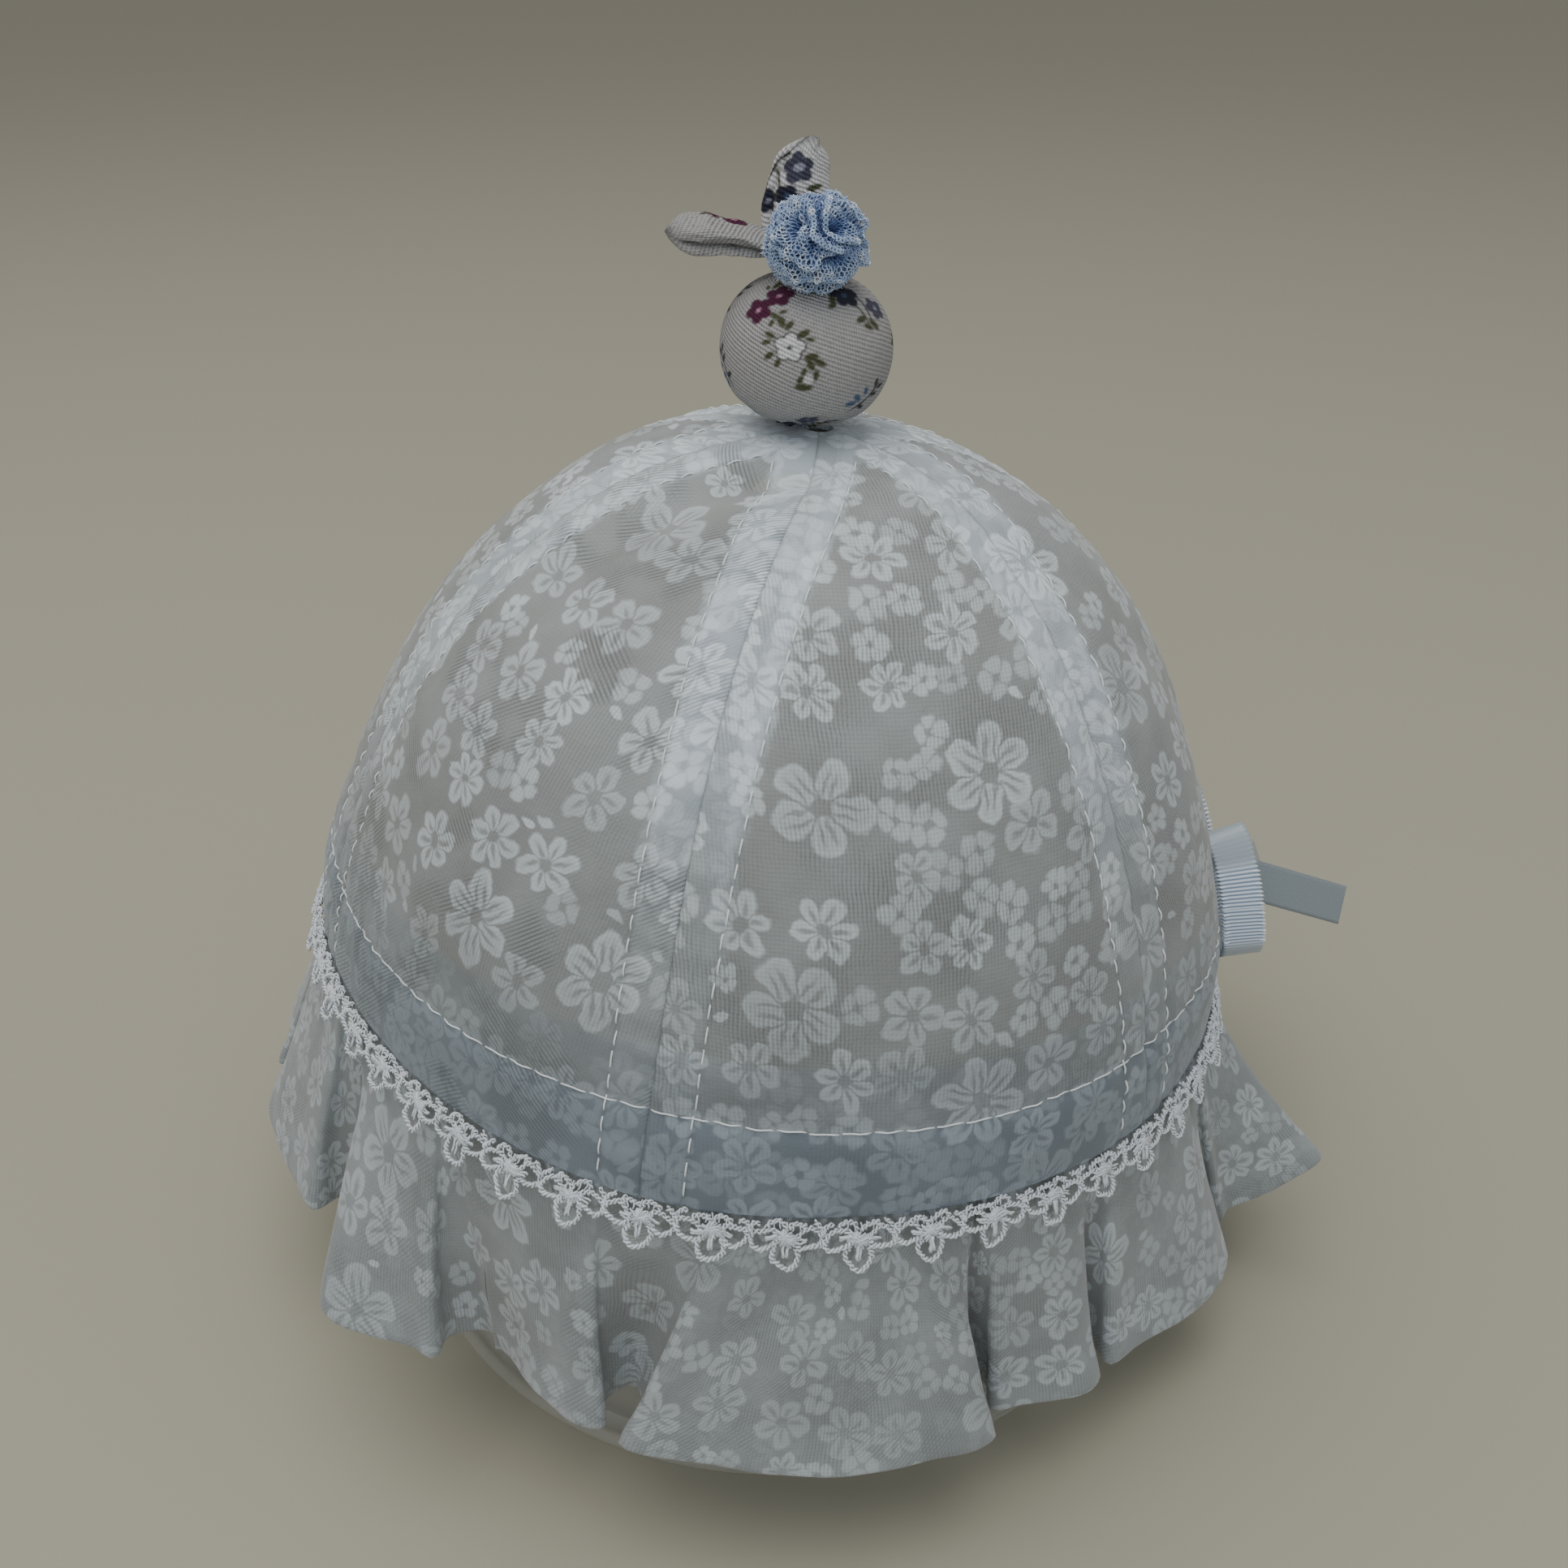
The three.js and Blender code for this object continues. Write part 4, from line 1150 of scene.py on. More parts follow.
def makeRuffle(material):
    columns = ruffle["columns"]
    places = np.linspace(0, 1, ruffle["rows"])
    face, outward, flat, hemLength = ruffleGrid(columns, places)
    backPlaces = np.linspace(1, 0, ruffle["backRows"])
    index = np.rint(backPlaces * (ruffle["rows"] - 1)).astype(int)
    thickness, hemThickness = ruffle["thickness"], ruffle["hemThickness"]
    half = 0.5 * (thickness + (hemThickness - thickness) * ease(places, 0.8, 0.97))
    middle = face - outward * 0.5 * thickness
    front = middle + outward * half[:, None, None]
    back = (middle - outward * half[:, None, None])[index]
    turns = np.linspace(0, np.pi, 7)[1:-1]
    below = unit(face[-1] - face[-4])
    hem = np.stack([
        middle[-1] + (outward[-1] * np.cos(turn) + below * np.sin(turn)) * half[-1] for turn in turns
    ])
    points = np.concatenate([front, hem, back])
    hemFlat = np.stack([flat[-1] + [0, half[-1] * turn] for turn in turns])
    cloth = np.concatenate([flat, hemFlat, flat[index] + [0, 4]])
    rows = len(points)
    doubled = np.concatenate([ease(places, 0.8, 0.86), np.ones(len(turns)), ease(backPlaces, 0.8, 0.86)])
    even = np.ones((rows, columns))
    # Painted shade: the layers mark is lowered in the ruffle's hollows, so the cloth is darker where less
    # light falls; the hem's double fold adds real layers. The foot mark is a set value that keeps the
    # facing's band off the ruffle and sets its painted brightening.
    reach = np.linalg.norm(points[..., :2], axis=-1)
    around = np.stack([np.roll(reach, step, 1) for step in range(-40, 41, 8)])
    hollowShade = ease(around.mean(0) - reach, -0.5, 3.5)
    marks = {
        "seam": 50 * even,
        "foot": 26 * even,
        "side": 0 * even,
        "layers": ruffle["layers"] * (1 - hollowShade) + 0.08 * doubled[:, None] * even,
        "faint": 0.22 * even,
        "pulled": 0.55 * even,
    }
    faces = gridFaces(rows, columns, wrapRows=True, wrapColumns=True)
    piece = makePiece("voile_ruffle", clothToRow(points), [faces], material, "voile", ["ruffle"],
                      cloth=cloth + [9, 300], marks=marks)
    hemLength * mm


# ---- Lace
lace = {
    "count": 49,
    "firstAngle": 2.2,
    "flare": 22.0,
    "insideRadius": 75.25,
    "gap": 0.3,
    "strand": 0.2,
    "ropeRadius": 0.25,
    "ropePitch": 1.3,
    "spacing": 0.2,
    "heartThreads": 38,
}


# Cords of one scallop, drawn flat: middle across, middle down, half width, half height, first and
# last angle. Angles start at the right and turn clockwise as it hangs.
laceArcs = [
    (-2.95, 2.5, 1.75, 1.3, 0, 360),
    (2.95, 2.5, 1.75, 1.3, 180, 540),
    (0.0, 4.6, 1.7, 1.8, -45, 225),
    (-1.45, 0.95, 1.15, 0.7, 175, 365),
    (1.45, 0.95, 1.15, 0.7, 175, 365),
    (-3.35, 1.55, 1.45, 1.3, 175, 265),
    (3.35, 1.55, 1.45, 1.3, -85, 5),
]

# Satin tongues in the eyes and the threads that fasten the scallop into the seam: from across, down
# to across, down, and thickness.
laceTacks = [
    (-1.2, 2.2, -2.8, 2.4, 0.24), (-1.2, 2.5, -2.6, 2.7, 0.2),
    (1.2, 2.2, 2.8, 2.4, 0.24), (1.2, 2.5, 2.6, 2.7, 0.2),
    (-0.2, 3.0, -0.18, 5.1, 0.26), (0.2, 3.0, 0.2, 5.0, 0.26),
    (-1.7, 1.2, -1.9, 0.1, 0.13), (-0.85, 1.2, -0.95, 0.0, 0.14), (0.0, 1.2, 0.0, 0.0, 0.14),
    (0.85, 1.2, 0.95, 0.0, 0.14), (1.7, 1.2, 1.9, 0.1, 0.13),
]


def laceThreads():
    ropes = []
    for across, down, halfWidth, halfHeight, first, last in laceArcs:
        length = math.radians(last - first) * (halfWidth + halfHeight) / 2
        steps = max(int(length / lace["spacing"]), 6)
        turn = np.radians(np.linspace(first, last, steps))
        ropes.append(joined(across + halfWidth * np.cos(turn), down + halfHeight * np.sin(turn)))
    tacks = [(np.linspace(tack[:2], tack[2:4], 5), tack[4]) for tack in laceTacks]
    random = np.random.default_rng(17)
    for turn in np.radians(np.arange(lace["heartThreads"]) * 137.5):
        middle = random.uniform(-0.4, 0.4, 2) * [1.5, 1.0]
        ray = np.array([math.cos(turn) * 1.4, math.sin(turn) * 1.0]) * random.uniform(0.75, 1.1)
        tacks.append((np.linspace(middle - ray, middle + ray, 4) + [0, 2.25], 0.17))
    return ropes, tacks


# From the flat drawing to the cap: across goes round the foot, down goes down the flare.
def onLace(across, down, rise, index):
    pitch = 360 / lace["count"]
    half = cap["headRadius"] * math.radians(pitch) / 2
    random = np.random.default_rng(100 + index)
    droop, swing, stand = (random.uniform(*span) for span in ((-0.35, 0.35), (-0.06, 0.06), (-0.3, 0.5)))
    across = across + swing * down
    down = down * (1 + 0.08 * droop)
    flare = math.radians(lace["flare"] + 10 * stand)
    angle = lace["firstAngle"] + index * pitch + across / half * (pitch / 2)
    hang = down + 0.25 * np.sin(across * 1.3 + index)
    radius = lace["insideRadius"] + hang * math.sin(flare) + rise * math.cos(flare)
    return polar(angle, radius, -lace["gap"] - hang * math.cos(flare) + rise * math.sin(flare))


def makeLace(material):
    ropes, tacks = laceThreads()
    parts = []
    for index in range(lace["count"]):
        random = np.random.default_rng(500 + index)
        cords = [(path, 2, lace["strand"]) for path in ropes] + [(path, 1, size) for path, size in tacks]
        for path, strands, size in cords:
            path = path + random.uniform(-0.1, 0.1, 2)
            along = lengthAlong(path)
            heading = unit(np.gradient(path, axis=0))
            aside = joined(-heading[:, 1], heading[:, 0])
            wobble = 0.08 * np.sin(along * 2.3 + random.uniform(0, 6))
            wobble = wobble + 0.06 * np.sin(along * 5.6 + random.uniform(0, 6))
            path = path + aside * wobble[:, None]
            height = random.uniform(0.3, 0.75)
            for strand in range(strands):
                turn = along * 2 * np.pi / lace["ropePitch"] + strand * 2 * np.pi / strands + index
                wide = lace["ropeRadius"] * (1 + 0.35 * np.sin(along * 7.7 + 2 * strand))
                wide = wide * (strands > 1)
                spot = path + aside * (wide * np.cos(turn))[:, None]
                rise = height + wide * np.sin(turn) + (0 if strands > 1 else 0.15)
                line = onLace(spot[:, 0], spot[:, 1], rise, index)
                away = onLace(spot[:, 0], spot[:, 1], rise + 1, index) - line
                parts.append(threads(line[None], away[None], size, 3))
    points, faces = mergedParts(parts)
    makePiece("lace_scallops", clothToRow(points), faces, material, "lace", ["lace_edging"])


# ---- Stuffing of the padded pieces
stuffing = {
    "scale": 10.0,  # the copy that is blown up is this much larger, which suits the cloth's own units
    "pressure": 4.0,
    "frames": 20,
    "looseness": 0.05,  # how much more cloth there is than the shape needs
    "most": 0.7,  # how far a point may move, in millimetres
    "rows": 44,
    "columns": 72,
}


# Blows up a coarse copy of a closed grid of points with Cloth, held at both ends. How far each point
# moved, capped and evened out, is carried over to the fine grid along its rows and columns.
def stuffed(points, ends):
    rows, columns = points.shape[:2]
    rowPlaces = np.linspace(0, rows - 1, stuffing["rows"])
    columnPlaces = np.arange(stuffing["columns"]) * columns / stuffing["columns"]
    coarse = points[np.rint(rowPlaces).astype(int)][:, np.rint(columnPlaces).astype(int)]
    size = stuffing["scale"] * mm
    corners = np.concatenate([coarse.reshape(-1, 3), ends]) * size
    mesh = bpy.data.meshes.new("stuffing")
    faces = [face for part in tubeFaces(*coarse.shape[:2]) for face in part.tolist()]
    mesh.from_pydata(corners.tolist(), [], faces)
    case = bpy.data.objects.new("stuffing", mesh)
    bpy.context.scene.collection.objects.link(case)
    held = case.vertex_groups.new(name="held")
    last = len(corners) - 2
    held.add([*range(stuffing["columns"]), *range(last - stuffing["columns"], last + 2)], 1.0, "REPLACE")
    cloth = case.modifiers.new("cloth", "CLOTH")
    cloth.settings.vertex_group_mass = "held"
    cloth.settings.use_pressure = True
    cloth.settings.uniform_pressure_force = stuffing["pressure"]
    cloth.settings.shrink_min = cloth.settings.shrink_max = -stuffing["looseness"]
    cloth.settings.effector_weights.gravity = 0
    cloth.settings.quality = 6
    cloth.collision_settings.use_collision = False
    cloth.point_cache.frame_end = stuffing["frames"]
    for frameNumber in range(1, stuffing["frames"] + 1):
        bpy.context.scene.frame_set(frameNumber)
    blown = case.evaluated_get(bpy.context.evaluated_depsgraph_get()).data
    after = np.empty(len(corners) * 3)
    blown.vertices.foreach_get("co", after)
    moved = ((after.reshape(-1, 3) - corners) / size)[:-2].reshape(coarse.shape)
    bpy.context.scene.frame_set(1)
    bpy.data.objects.remove(case)
    bpy.data.meshes.remove(mesh)
    outward = unit(coarse - coarse.mean(1, keepdims=True))
    moved = moved - outward * (moved * outward).sum(-1).mean()
    length = np.linalg.norm(moved, axis=-1, keepdims=True)
    moved = moved * np.minimum(1, stuffing["most"] / np.maximum(length, 1e-9))
    row = np.interp(np.arange(rows), rowPlaces, np.arange(len(rowPlaces)))
    columnEnds = np.append(columnPlaces, columns)
    column = np.interp(np.arange(columns), columnEnds, np.arange(len(columnEnds)))
    low = np.minimum(row.astype(int), len(rowPlaces) - 2)
    left = column.astype(int)
    down, across = (row - low)[:, None, None], (column - left)[None, :, None]
    right = (left + 1) % len(columnPlaces)
    upper = moved[low][:, left] * (1 - across) + moved[low][:, right] * across
    lower = moved[low + 1][:, left] * (1 - across) + moved[low + 1][:, right] * across
    return points + upper * (1 - down) + lower * down


# ---- Linen ball and ears, with sprigs painted on
linen = {
    "ground": (0.442, 0.43, 0.428),
    "burgundy": (0.08, 0.001, 0.038),
    "pink": (0.62, 0.3, 0.42),
    "navy": (0.016, 0.018, 0.04),
    "slate": (0.07, 0.07, 0.11),
    "blue": (0.075, 0.13, 0.24),
    "lilac": (0.4, 0.38, 0.5),
    "white": (0.82, 0.82, 0.82),
    "olive": (0.075, 0.08, 0.035),
    "outline": (0.02, 0.02, 0.025),
}


# Blends a colour into paint inside an ellipse that is turned by some degrees.
def dab(paint, x, y, across, up, halfLong, halfWide, turn, colour, strength=1.0):
    along, aside = turned(x - across, y - up, math.radians(turn))
    out = np.hypot(along / halfLong, aside / halfWide)
    edge = 0.16 / halfWide
    share = strength * ease(-out, -1 - edge, -1 + edge)
    return paint + (np.array(linen[colour]) - paint) * share[..., None]


# Five petals round a heart: each an oval that reaches from the heart to size, in millimetres.
def bloom(paint, x, y, across, up, size, colour, heart, turn=0, outlined=False):
    angles = turn + np.arange(5) * 72.0
    layers = [(angles, 0.5, 0.42, colour, 1.0), (angles[::2], 0.3, 0.07, "outline", 0.35)]
    if outlined:
        layers.insert(0, (angles, 0.62, 0.54, "outline", 0.95))
    for headings, halfLong, halfWide, tint, strength in layers:
        for angle in headings:
            px = across + 0.52 * size * math.cos(math.radians(angle))
            py = up + 0.52 * size * math.sin(math.radians(angle))
            paint = dab(paint, x, y, px, py, halfLong * size, halfWide * size, angle, tint, strength)
    return dab(paint, x, y, across, up, 0.2 * size, 0.17 * size, turn, heart, 0.9)


# Leaves, each given by its place, half length, half width, and turn in degrees.
def leaves(paint, x, y, places, colour="olive"):
    for place in places:
        paint = dab(paint, x, y, *place, colour)
    return paint


# A thin stem through knots.
def stem(paint, x, y, knots, colour, halfWide):
    for (x0, y0), (x1, y1) in zip(knots, knots[1:]):
        length = math.hypot(x1 - x0, y1 - y0)
        turn = math.degrees(math.atan2(y1 - y0, x1 - x0))
        middle = (x0 + x1) / 2, (y0 + y1) / 2
        paint = dab(paint, x, y, *middle, length / 2 + 0.15, halfWide, turn, colour)
    return paint


# What each kind of sprig is made of, one thing over the other, about its main flower's heart.
sprigs = {
    "pair": [
        (leaves, [
            (2.5, -0.9, 0.75, 0.4, -30), (3.3, -1.6, 0.75, 0.4, -75), (2.2, -2.0, 0.6, 0.33, -120),
            (3.6, -0.3, 0.55, 0.3, 20), (1.4, 4.3, 0.8, 0.4, 60), (0.2, 4.0, 0.6, 0.33, 120),
        ]),
        (bloom, 2.45, 2.35, 1.95, "burgundy", "pink", 20),
        (bloom, 0, 0, 2.05, "burgundy", "pink", 50),
    ],
    "white": [
        (leaves, [
            (-1.5, 3.4, 0.8, 0.45, 110), (-0.5, 3.1, 0.8, 0.42, 60), (-2.9, 1.4, 0.85, 0.42, 160),
            (-3.3, 0.3, 0.7, 0.38, 200), (-2.7, -1.6, 0.85, 0.45, 225), (-1.4, -2.5, 0.75, 0.4, 250),
            (1.5, 2.2, 0.95, 0.5, 40), (2.5, 1.6, 0.6, 0.33, 0), (3.0, -0.9, 1.0, 0.55, 25),
            (4.2, -1.5, 0.95, 0.5, -20), (3.1, -2.1, 0.9, 0.5, -60), (2.3, -3.2, 0.65, 0.35, -110),
            (3.9, -3.5, 0.9, 0.4, -100), (1.9, -4.5, 0.7, 0.4, -120), (2.4, -5.5, 1.25, 0.55, 10),
        ]),
        (dab, 3.0, -4.3, 0.75, 0.65, 60, "white", 0.65),
        (bloom, 0, 0, 2.0, "white", "outline", 18, True),
    ],
    "navy": [
        (stem, [(0.2, -0.8), (1.2, -2.6), (1.9, -4.6)], "olive", 0.18),
        (stem, [(1.0, 0.6), (2.1, -1.4), (2.6, -4.0)], "outline", 0.14),
        (leaves, [
            (0.8, -4.0, 0.95, 0.45, 20), (2.9, -4.6, 1.0, 0.5, -40), (1.7, -5.0, 0.8, 0.4, 160),
            (-2.1, -0.4, 1.0, 0.45, 70), (-2.6, -1.4, 0.7, 0.4, 20),
        ]),
        (bloom, 4.2, -2.1, 1.75, "slate", "lilac", 40),
        (bloom, 0, 0, 2.1, "navy", "blue", 10),
    ],
    "lone": [
        (stem, [(-2.0, 2.6), (-3.2, 0.4), (-3.7, -2.2), (-3.9, -5.0)], "outline", 0.2),
        (stem, [(-3.4, -0.6), (-2.2, -1.6), (-1.4, -2.8)], "olive", 0.22),
        (stem, [(-2.6, 1.6), (-1.6, 1.2)], "outline", 0.2),
        (leaves, [(2.6, -2.1, 1.0, 0.42, 20), (2.2, -2.9, 0.8, 0.4, -50), (-1.2, -3.2, 1.0, 0.45, 40)]),
        (bloom, -0.4, -3.7, 1.5, "navy", "blue", 0),
        (bloom, -3.0, -4.6, 1.5, "navy", "lilac", 30),
        (bloom, 0, 0, 2.1, "slate", "lilac", 40),
        (dab, 0.1, 0.1, 0.7, 0.5, 30, "lilac"),
    ],
    "buds": [
        (stem, [(-1.2, -2.8), (0.4, -0.2), (1.6, 2.6)], "outline", 0.22),
        (leaves, [
            (-1.7, -0.4, 0.95, 0.5, 150), (-0.8, 1.0, 0.75, 0.4, 120), (-2.2, -1.6, 0.9, 0.5, 200),
        ], "blue"),
        (leaves, [
            (0.8, 2.5, 0.75, 0.4, 100), (2.3, 1.9, 0.75, 0.4, 20), (1.5, 0.5, 0.75, 0.4, 10),
            (0.2, -1.9, 0.75, 0.4, -20),
        ], "outline"),
    ],
}


def paintSprig(paint, x, y, kind, turn):
    x, y = turned(x, y, math.radians(turn))
    for draw, *values in sprigs[kind]:
        paint = draw(paint, x, y, *values)
    return paint


ball = {
    "middle": (-2.9, 0.0, 93.9),
    "radius": 12.2,
    "halfHeight": 10.6,
    "rows": 160,
    "columns": 290,
}

# Sprigs on the ball: degrees round from the front, degrees up, turn, kind.
ballSprigs = [
    (-45, 37, 22, "pair"), (-13, 17, 0, "white"), (37, 57, 0, "navy"), (49, -20, -12, "buds"),
    (-72, -12, 60, "buds"), (-23, -66, 60, "navy"), (-93, 34, 30, "buds"), (98, 14, 60, "white"),
    (120, -30, 20, "pair"), (148, 32, -20, "navy"), (172, -8, 30, "white"), (-132, 38, 10, "pair"),
    (-140, -2, 60, "buds"), (-108, -32, 0, "white"), (22, -62, 0, "buds"), (-170, 48, 0, "navy"),
    (150, -58, 0, "navy"),
]


# Radius R cos(rise)^0.86 at height H sin(rise), puckered towards both gathered ends.
def makeBall(material):
    rows, columns = ball["rows"], ball["columns"]
    rise = ballRises(rows)
    turn = -np.pi + wholeTurn(columns)
    radius = ball["radius"] * np.cos(rise) ** 0.86
    height = ball["halfHeight"] * np.sin(rise)
    points = joined(radius * np.sin(turn), -radius * np.cos(turn), height)
    pucker = np.abs(np.sin(turn * 7 + 0.8 * ripple(points, 20, 31))) * ease(np.abs(rise), 0.75, 1.45)
    lift = 0.12 * ripple(points, 12, 32) - 0.55 * pucker
    points = points * (1 + lift / 12)[..., None]
    ends = np.array([[0, 0, height[0, 0]], [0, 0, height[-1, 0]]])
    points = stuffed(points, ends)
    direction = unit(points / [1, 1, ball["halfHeight"] / ball["radius"]])
    paint = np.broadcast_to(np.array(linen["ground"]), points.shape)
    for around, up, spin, kind in ballSprigs:
        climb = math.radians(up)
        forward = polar(around, math.cos(climb), math.sin(climb))
        right = polar(around + 90, 1.0, 0.0)
        above = np.cross(forward, right)
        x, y = direction @ right * ball["radius"], direction @ above * ball["radius"]
        close = direction @ forward > 0.75
        paint = np.where(close[..., None], paintSprig(paint, x, y, kind, spin), paint)
    cloth = joined(turn * ball["radius"] * np.cos(rise), rise * 11)
    points = np.concatenate([flatList(points), ends]) + ball["middle"]
    piece = makePiece(
        "linen_ball", capToRow(points), tubeFaces(rows, columns), material, "linen", ["top_ball"],
        cloth=np.concatenate([flatList(cloth), [[0, -17], [0, 17]]]),
        paint=np.concatenate([flatList(paint), [linen["ground"]] * 2]),
    )


ears = {
    "left": {
        "root": (-6.4, 1.6, 107.3), "tip": (-23.9, 0, 108.5), "bow": (0, 0, 0.9), "broad": (0, 1, 0.2),
        "halfWidth": 3.5, "halfThickness": 2.45, "node": "ear_left",
        "widths": [0.3, 0.75, 0.95, 1.02, 0.98, 0.55, 0.02],
        "thicknesses": [0.4, 0.6, 0.76, 0.94, 0.97, 0.52, 0.02],
        "skew": 0.0, "lip": (136, 0.6), "tone": 0.97,
        "sprigs": [(8.3, 8.2, 45, "pair"), (11, -9.4, 0, "navy")],
    },
    "upright": {
        "root": (-4.4, 5.2, 104), "tip": (-4.6, 5, 121.9), "bow": (-2.6, 0.6, 0), "broad": (1, 0.1, 0),
        "halfWidth": 4.2, "halfThickness": 2.0, "node": "ear_upright",
        "widths": [0.2, 0.6, 0.9, 1, 0.86, 0.52, 0.04],
        "thicknesses": [0.3, 0.75, 0.95, 1, 0.8, 0.45, 0.02],
        "skew": 0.3, "lip": (180, 0.35), "tone": 1.8,
        "sprigs": [(13.8, 4.2, 0, "lone"), (10, -5, 0, "pair")],
    },
}


# A spine bent by a quadratic curve, with elliptical rings whose half axes follow smooth curves. A seam
# stands out as a wavy lip along one side, with a groove above it.
def makeEar(name, look, material):
    rows, columns = 110, 130
    root, tip, bow = (np.array(look[key], float) for key in ("root", "tip", "bow"))
    middle = (root + tip) / 2 + bow
    along = (1 - np.cos(np.linspace(0, np.pi, rows + 2)[1:-1])) / 2
    t = along[:, None]
    spine = (1 - t) ** 2 * root + 2 * t * (1 - t) * middle + t**2 * tip
    heading = unit(2 * (1 - t) * (middle - root) + 2 * t * (tip - middle))
    broad = np.array(look["broad"], float)
    wide = unit(broad - heading * (heading @ broad)[:, None])
    thick = np.cross(heading, wide)
    knots = [0, 0.05, 0.25, 0.5, 0.75, 0.93, 1]
    halfWidth = look["halfWidth"] * smoothThrough(along, knots, look["widths"])
    halfThick = look["halfThickness"] * smoothThrough(along, knots, look["thicknesses"])
    turn = wholeTurn(columns)
    across, out = np.cos(turn), np.sin(turn)
    lipAngle, lipHeight = look["lip"]
    offSeam = np.degrees(np.angle(np.exp(1j * (turn - math.radians(lipAngle)))))
    wave = 1 + 0.25 * np.sin(along * 17) + 0.12 * np.sin(along * 43)
    seamed = (ease(along, 0.05, 0.3) * ease(-along, -0.97, -0.8))[:, None]
    groove = bell(offSeam - 30, 9) * seamed
    lip = lipHeight * wave[:, None] * (bell(offSeam, 16) * seamed - groove)
    skew = look["skew"] * ease(along, 0.5, 0.95)
    points = (
        spine[:, None]
        + wide[:, None] * (halfWidth[:, None] * across + skew[:, None])[..., None]
        + thick[:, None] * (halfThick[:, None] * out)[..., None]
    )
    ends = np.array([root, tip + [look["skew"], 0, 0]])
    points = stuffed(points, ends)
    outward = unit(points - spine[:, None])
    points = points + (0.14 * ripple(points, 5, 41) + lip)[..., None] * outward
    length = np.linalg.norm(tip - root)
    cloth = joined(turn * 3.2 - 3.2 * np.pi, t * length)
    # Painted light: each ear's cloth is made lighter or darker as a whole for how the light falls on it.
    paint = np.broadcast_to(np.array(linen["ground"]) * look["tone"], points.shape)
    for place, aside, spin, kind in look["sprigs"]:
        paint = paintSprig(paint, cloth[..., 0] - aside, cloth[..., 1] - place, kind, spin)
    # Painted shade: the cloth is darkened along the groove above the seam's lip.
    paint = paint * (1 - lipHeight * groove)[..., None]
    piece = makePiece(
        f"linen_{name}_ear", capToRow(np.concatenate([flatList(points), ends])),
        tubeFaces(rows, columns), material, "linen", [look["node"]],
        cloth=np.concatenate([flatList(cloth), [[0, 0], [0, length]]]),
        paint=np.concatenate([flatList(paint), [linen["ground"]] * 2]),
    )


# ---- Tulle pompom: net over folded layers round a dark core, painted shade and stacked net deep inside, with loose thread ends
pompom = {
    "middle": (-3.1, -5.0, 110.1), "radius": 7.5, "meshes": (0.78, 1.2), "wire": 0.12,
    "core": 0.76, "coreRows": 100, "coreColumns": 150, "flat": 0.93,
    "ends": 2600, "endLength": 0.8, "endWire": 0.075,
    "hemSteps": 150, "hemPitch": 1.1, "hemWidth": 0.28, "hemWire": 0.14,
}

# Hollows in the pompom: direction, turn of the long way in degrees from level, depth in shares of
# the radius, and half length and half width in radians.
pompomHollows = [
    ((-0.46, -0.78, 0.43), 80, 0.44, 0.26, 0.14),
    ((0.37, -0.79, 0.5), 10, 0.44, 0.3, 0.19),
    ((0.32, -0.93, -0.2), -10, 0.48, 0.26, 0.11),
    ((-0.02, -0.67, 0.74), 80, 0.2, 0.3, 0.08),
    ((-0.13, -0.99, 0.07), 95, 0.22, 0.22, 0.07),
    ((-0.47, -0.82, -0.32), -30, 0.14, 0.32, 0.09),
    ((-0.2, -0.1, 0.97), 0, 0.35, 0.3, 0.2), ((0.9, 0.0, 0.3), 60, 0.4, 0.32, 0.2),
    ((0.6, 0.6, 0.5), 0, 0.4, 0.3, 0.2), ((-0.3, 0.9, 0.3), 80, 0.4, 0.34, 0.18),
    ((-0.9, 0.3, 0.3), 20, 0.35, 0.3, 0.2), ((0.2, 0.5, 0.85), 50, 0.35, 0.3, 0.2),
    ((0.3, 0.9, -0.3), 0, 0.4, 0.36, 0.14), ((-0.6, 0.6, -0.5), 30, 0.4, 0.3, 0.2),
    ((0.8, 0.1, -0.6), 0, 0.35, 0.3, 0.18),
]

# Fold edges that stand out of the pompom: directions that each edge runs through. The net dips along
# the side of an edge that lies to the left of its run.
pompomEdges = [
    [(-0.39, -0.65, 0.65), (-0.33, -0.83, 0.45), (-0.38, -0.89, 0.26)],
    [(-0.19, -0.71, 0.68), (-0.11, -0.88, 0.46), (-0.11, -0.96, 0.25), (0.09, -0.99, 0.12),
     (0.5, -0.87, 0.01)],
    [(0.15, -0.24, 0.96), (0.09, -0.73, 0.68), (0.14, -0.89, 0.44), (0.39, -0.89, 0.24),
     (0.81, -0.57, 0.16)],
    [(-0.86, -0.51, -0.05), (-0.57, -0.81, -0.17), (-0.21, -0.93, -0.29), (-0.03, -0.94, -0.33),
     (0.16, -0.98, -0.11), (0.46, -0.88, -0.1)],
    [(0.43, -0.4, 0.81), (0.82, -0.29, 0.5), (0.92, -0.35, 0.2)],
    [(-0.8, -0.33, 0.5), (-0.87, -0.44, 0.21), (-0.71, -0.7, 0.09)],
    [(-0.34, -0.66, -0.67), (0.05, -0.82, -0.58), (0.5, -0.67, -0.54)],
    [(-0.9, 0.2, 0.5), (-0.6, 0.7, 0.4), (0.0, 0.9, 0.4)],
    [(0.9, -0.3, -0.3), (0.9, 0.3, -0.2), (0.5, 0.8, 0.0)],
    [(0.1, 0.2, 0.97), (0.6, 0.5, 0.6), (0.8, 0.3, 0.5)],
    [(-0.8, 0.4, -0.4), (-0.2, 0.9, -0.3), (0.4, 0.7, -0.6)],
]


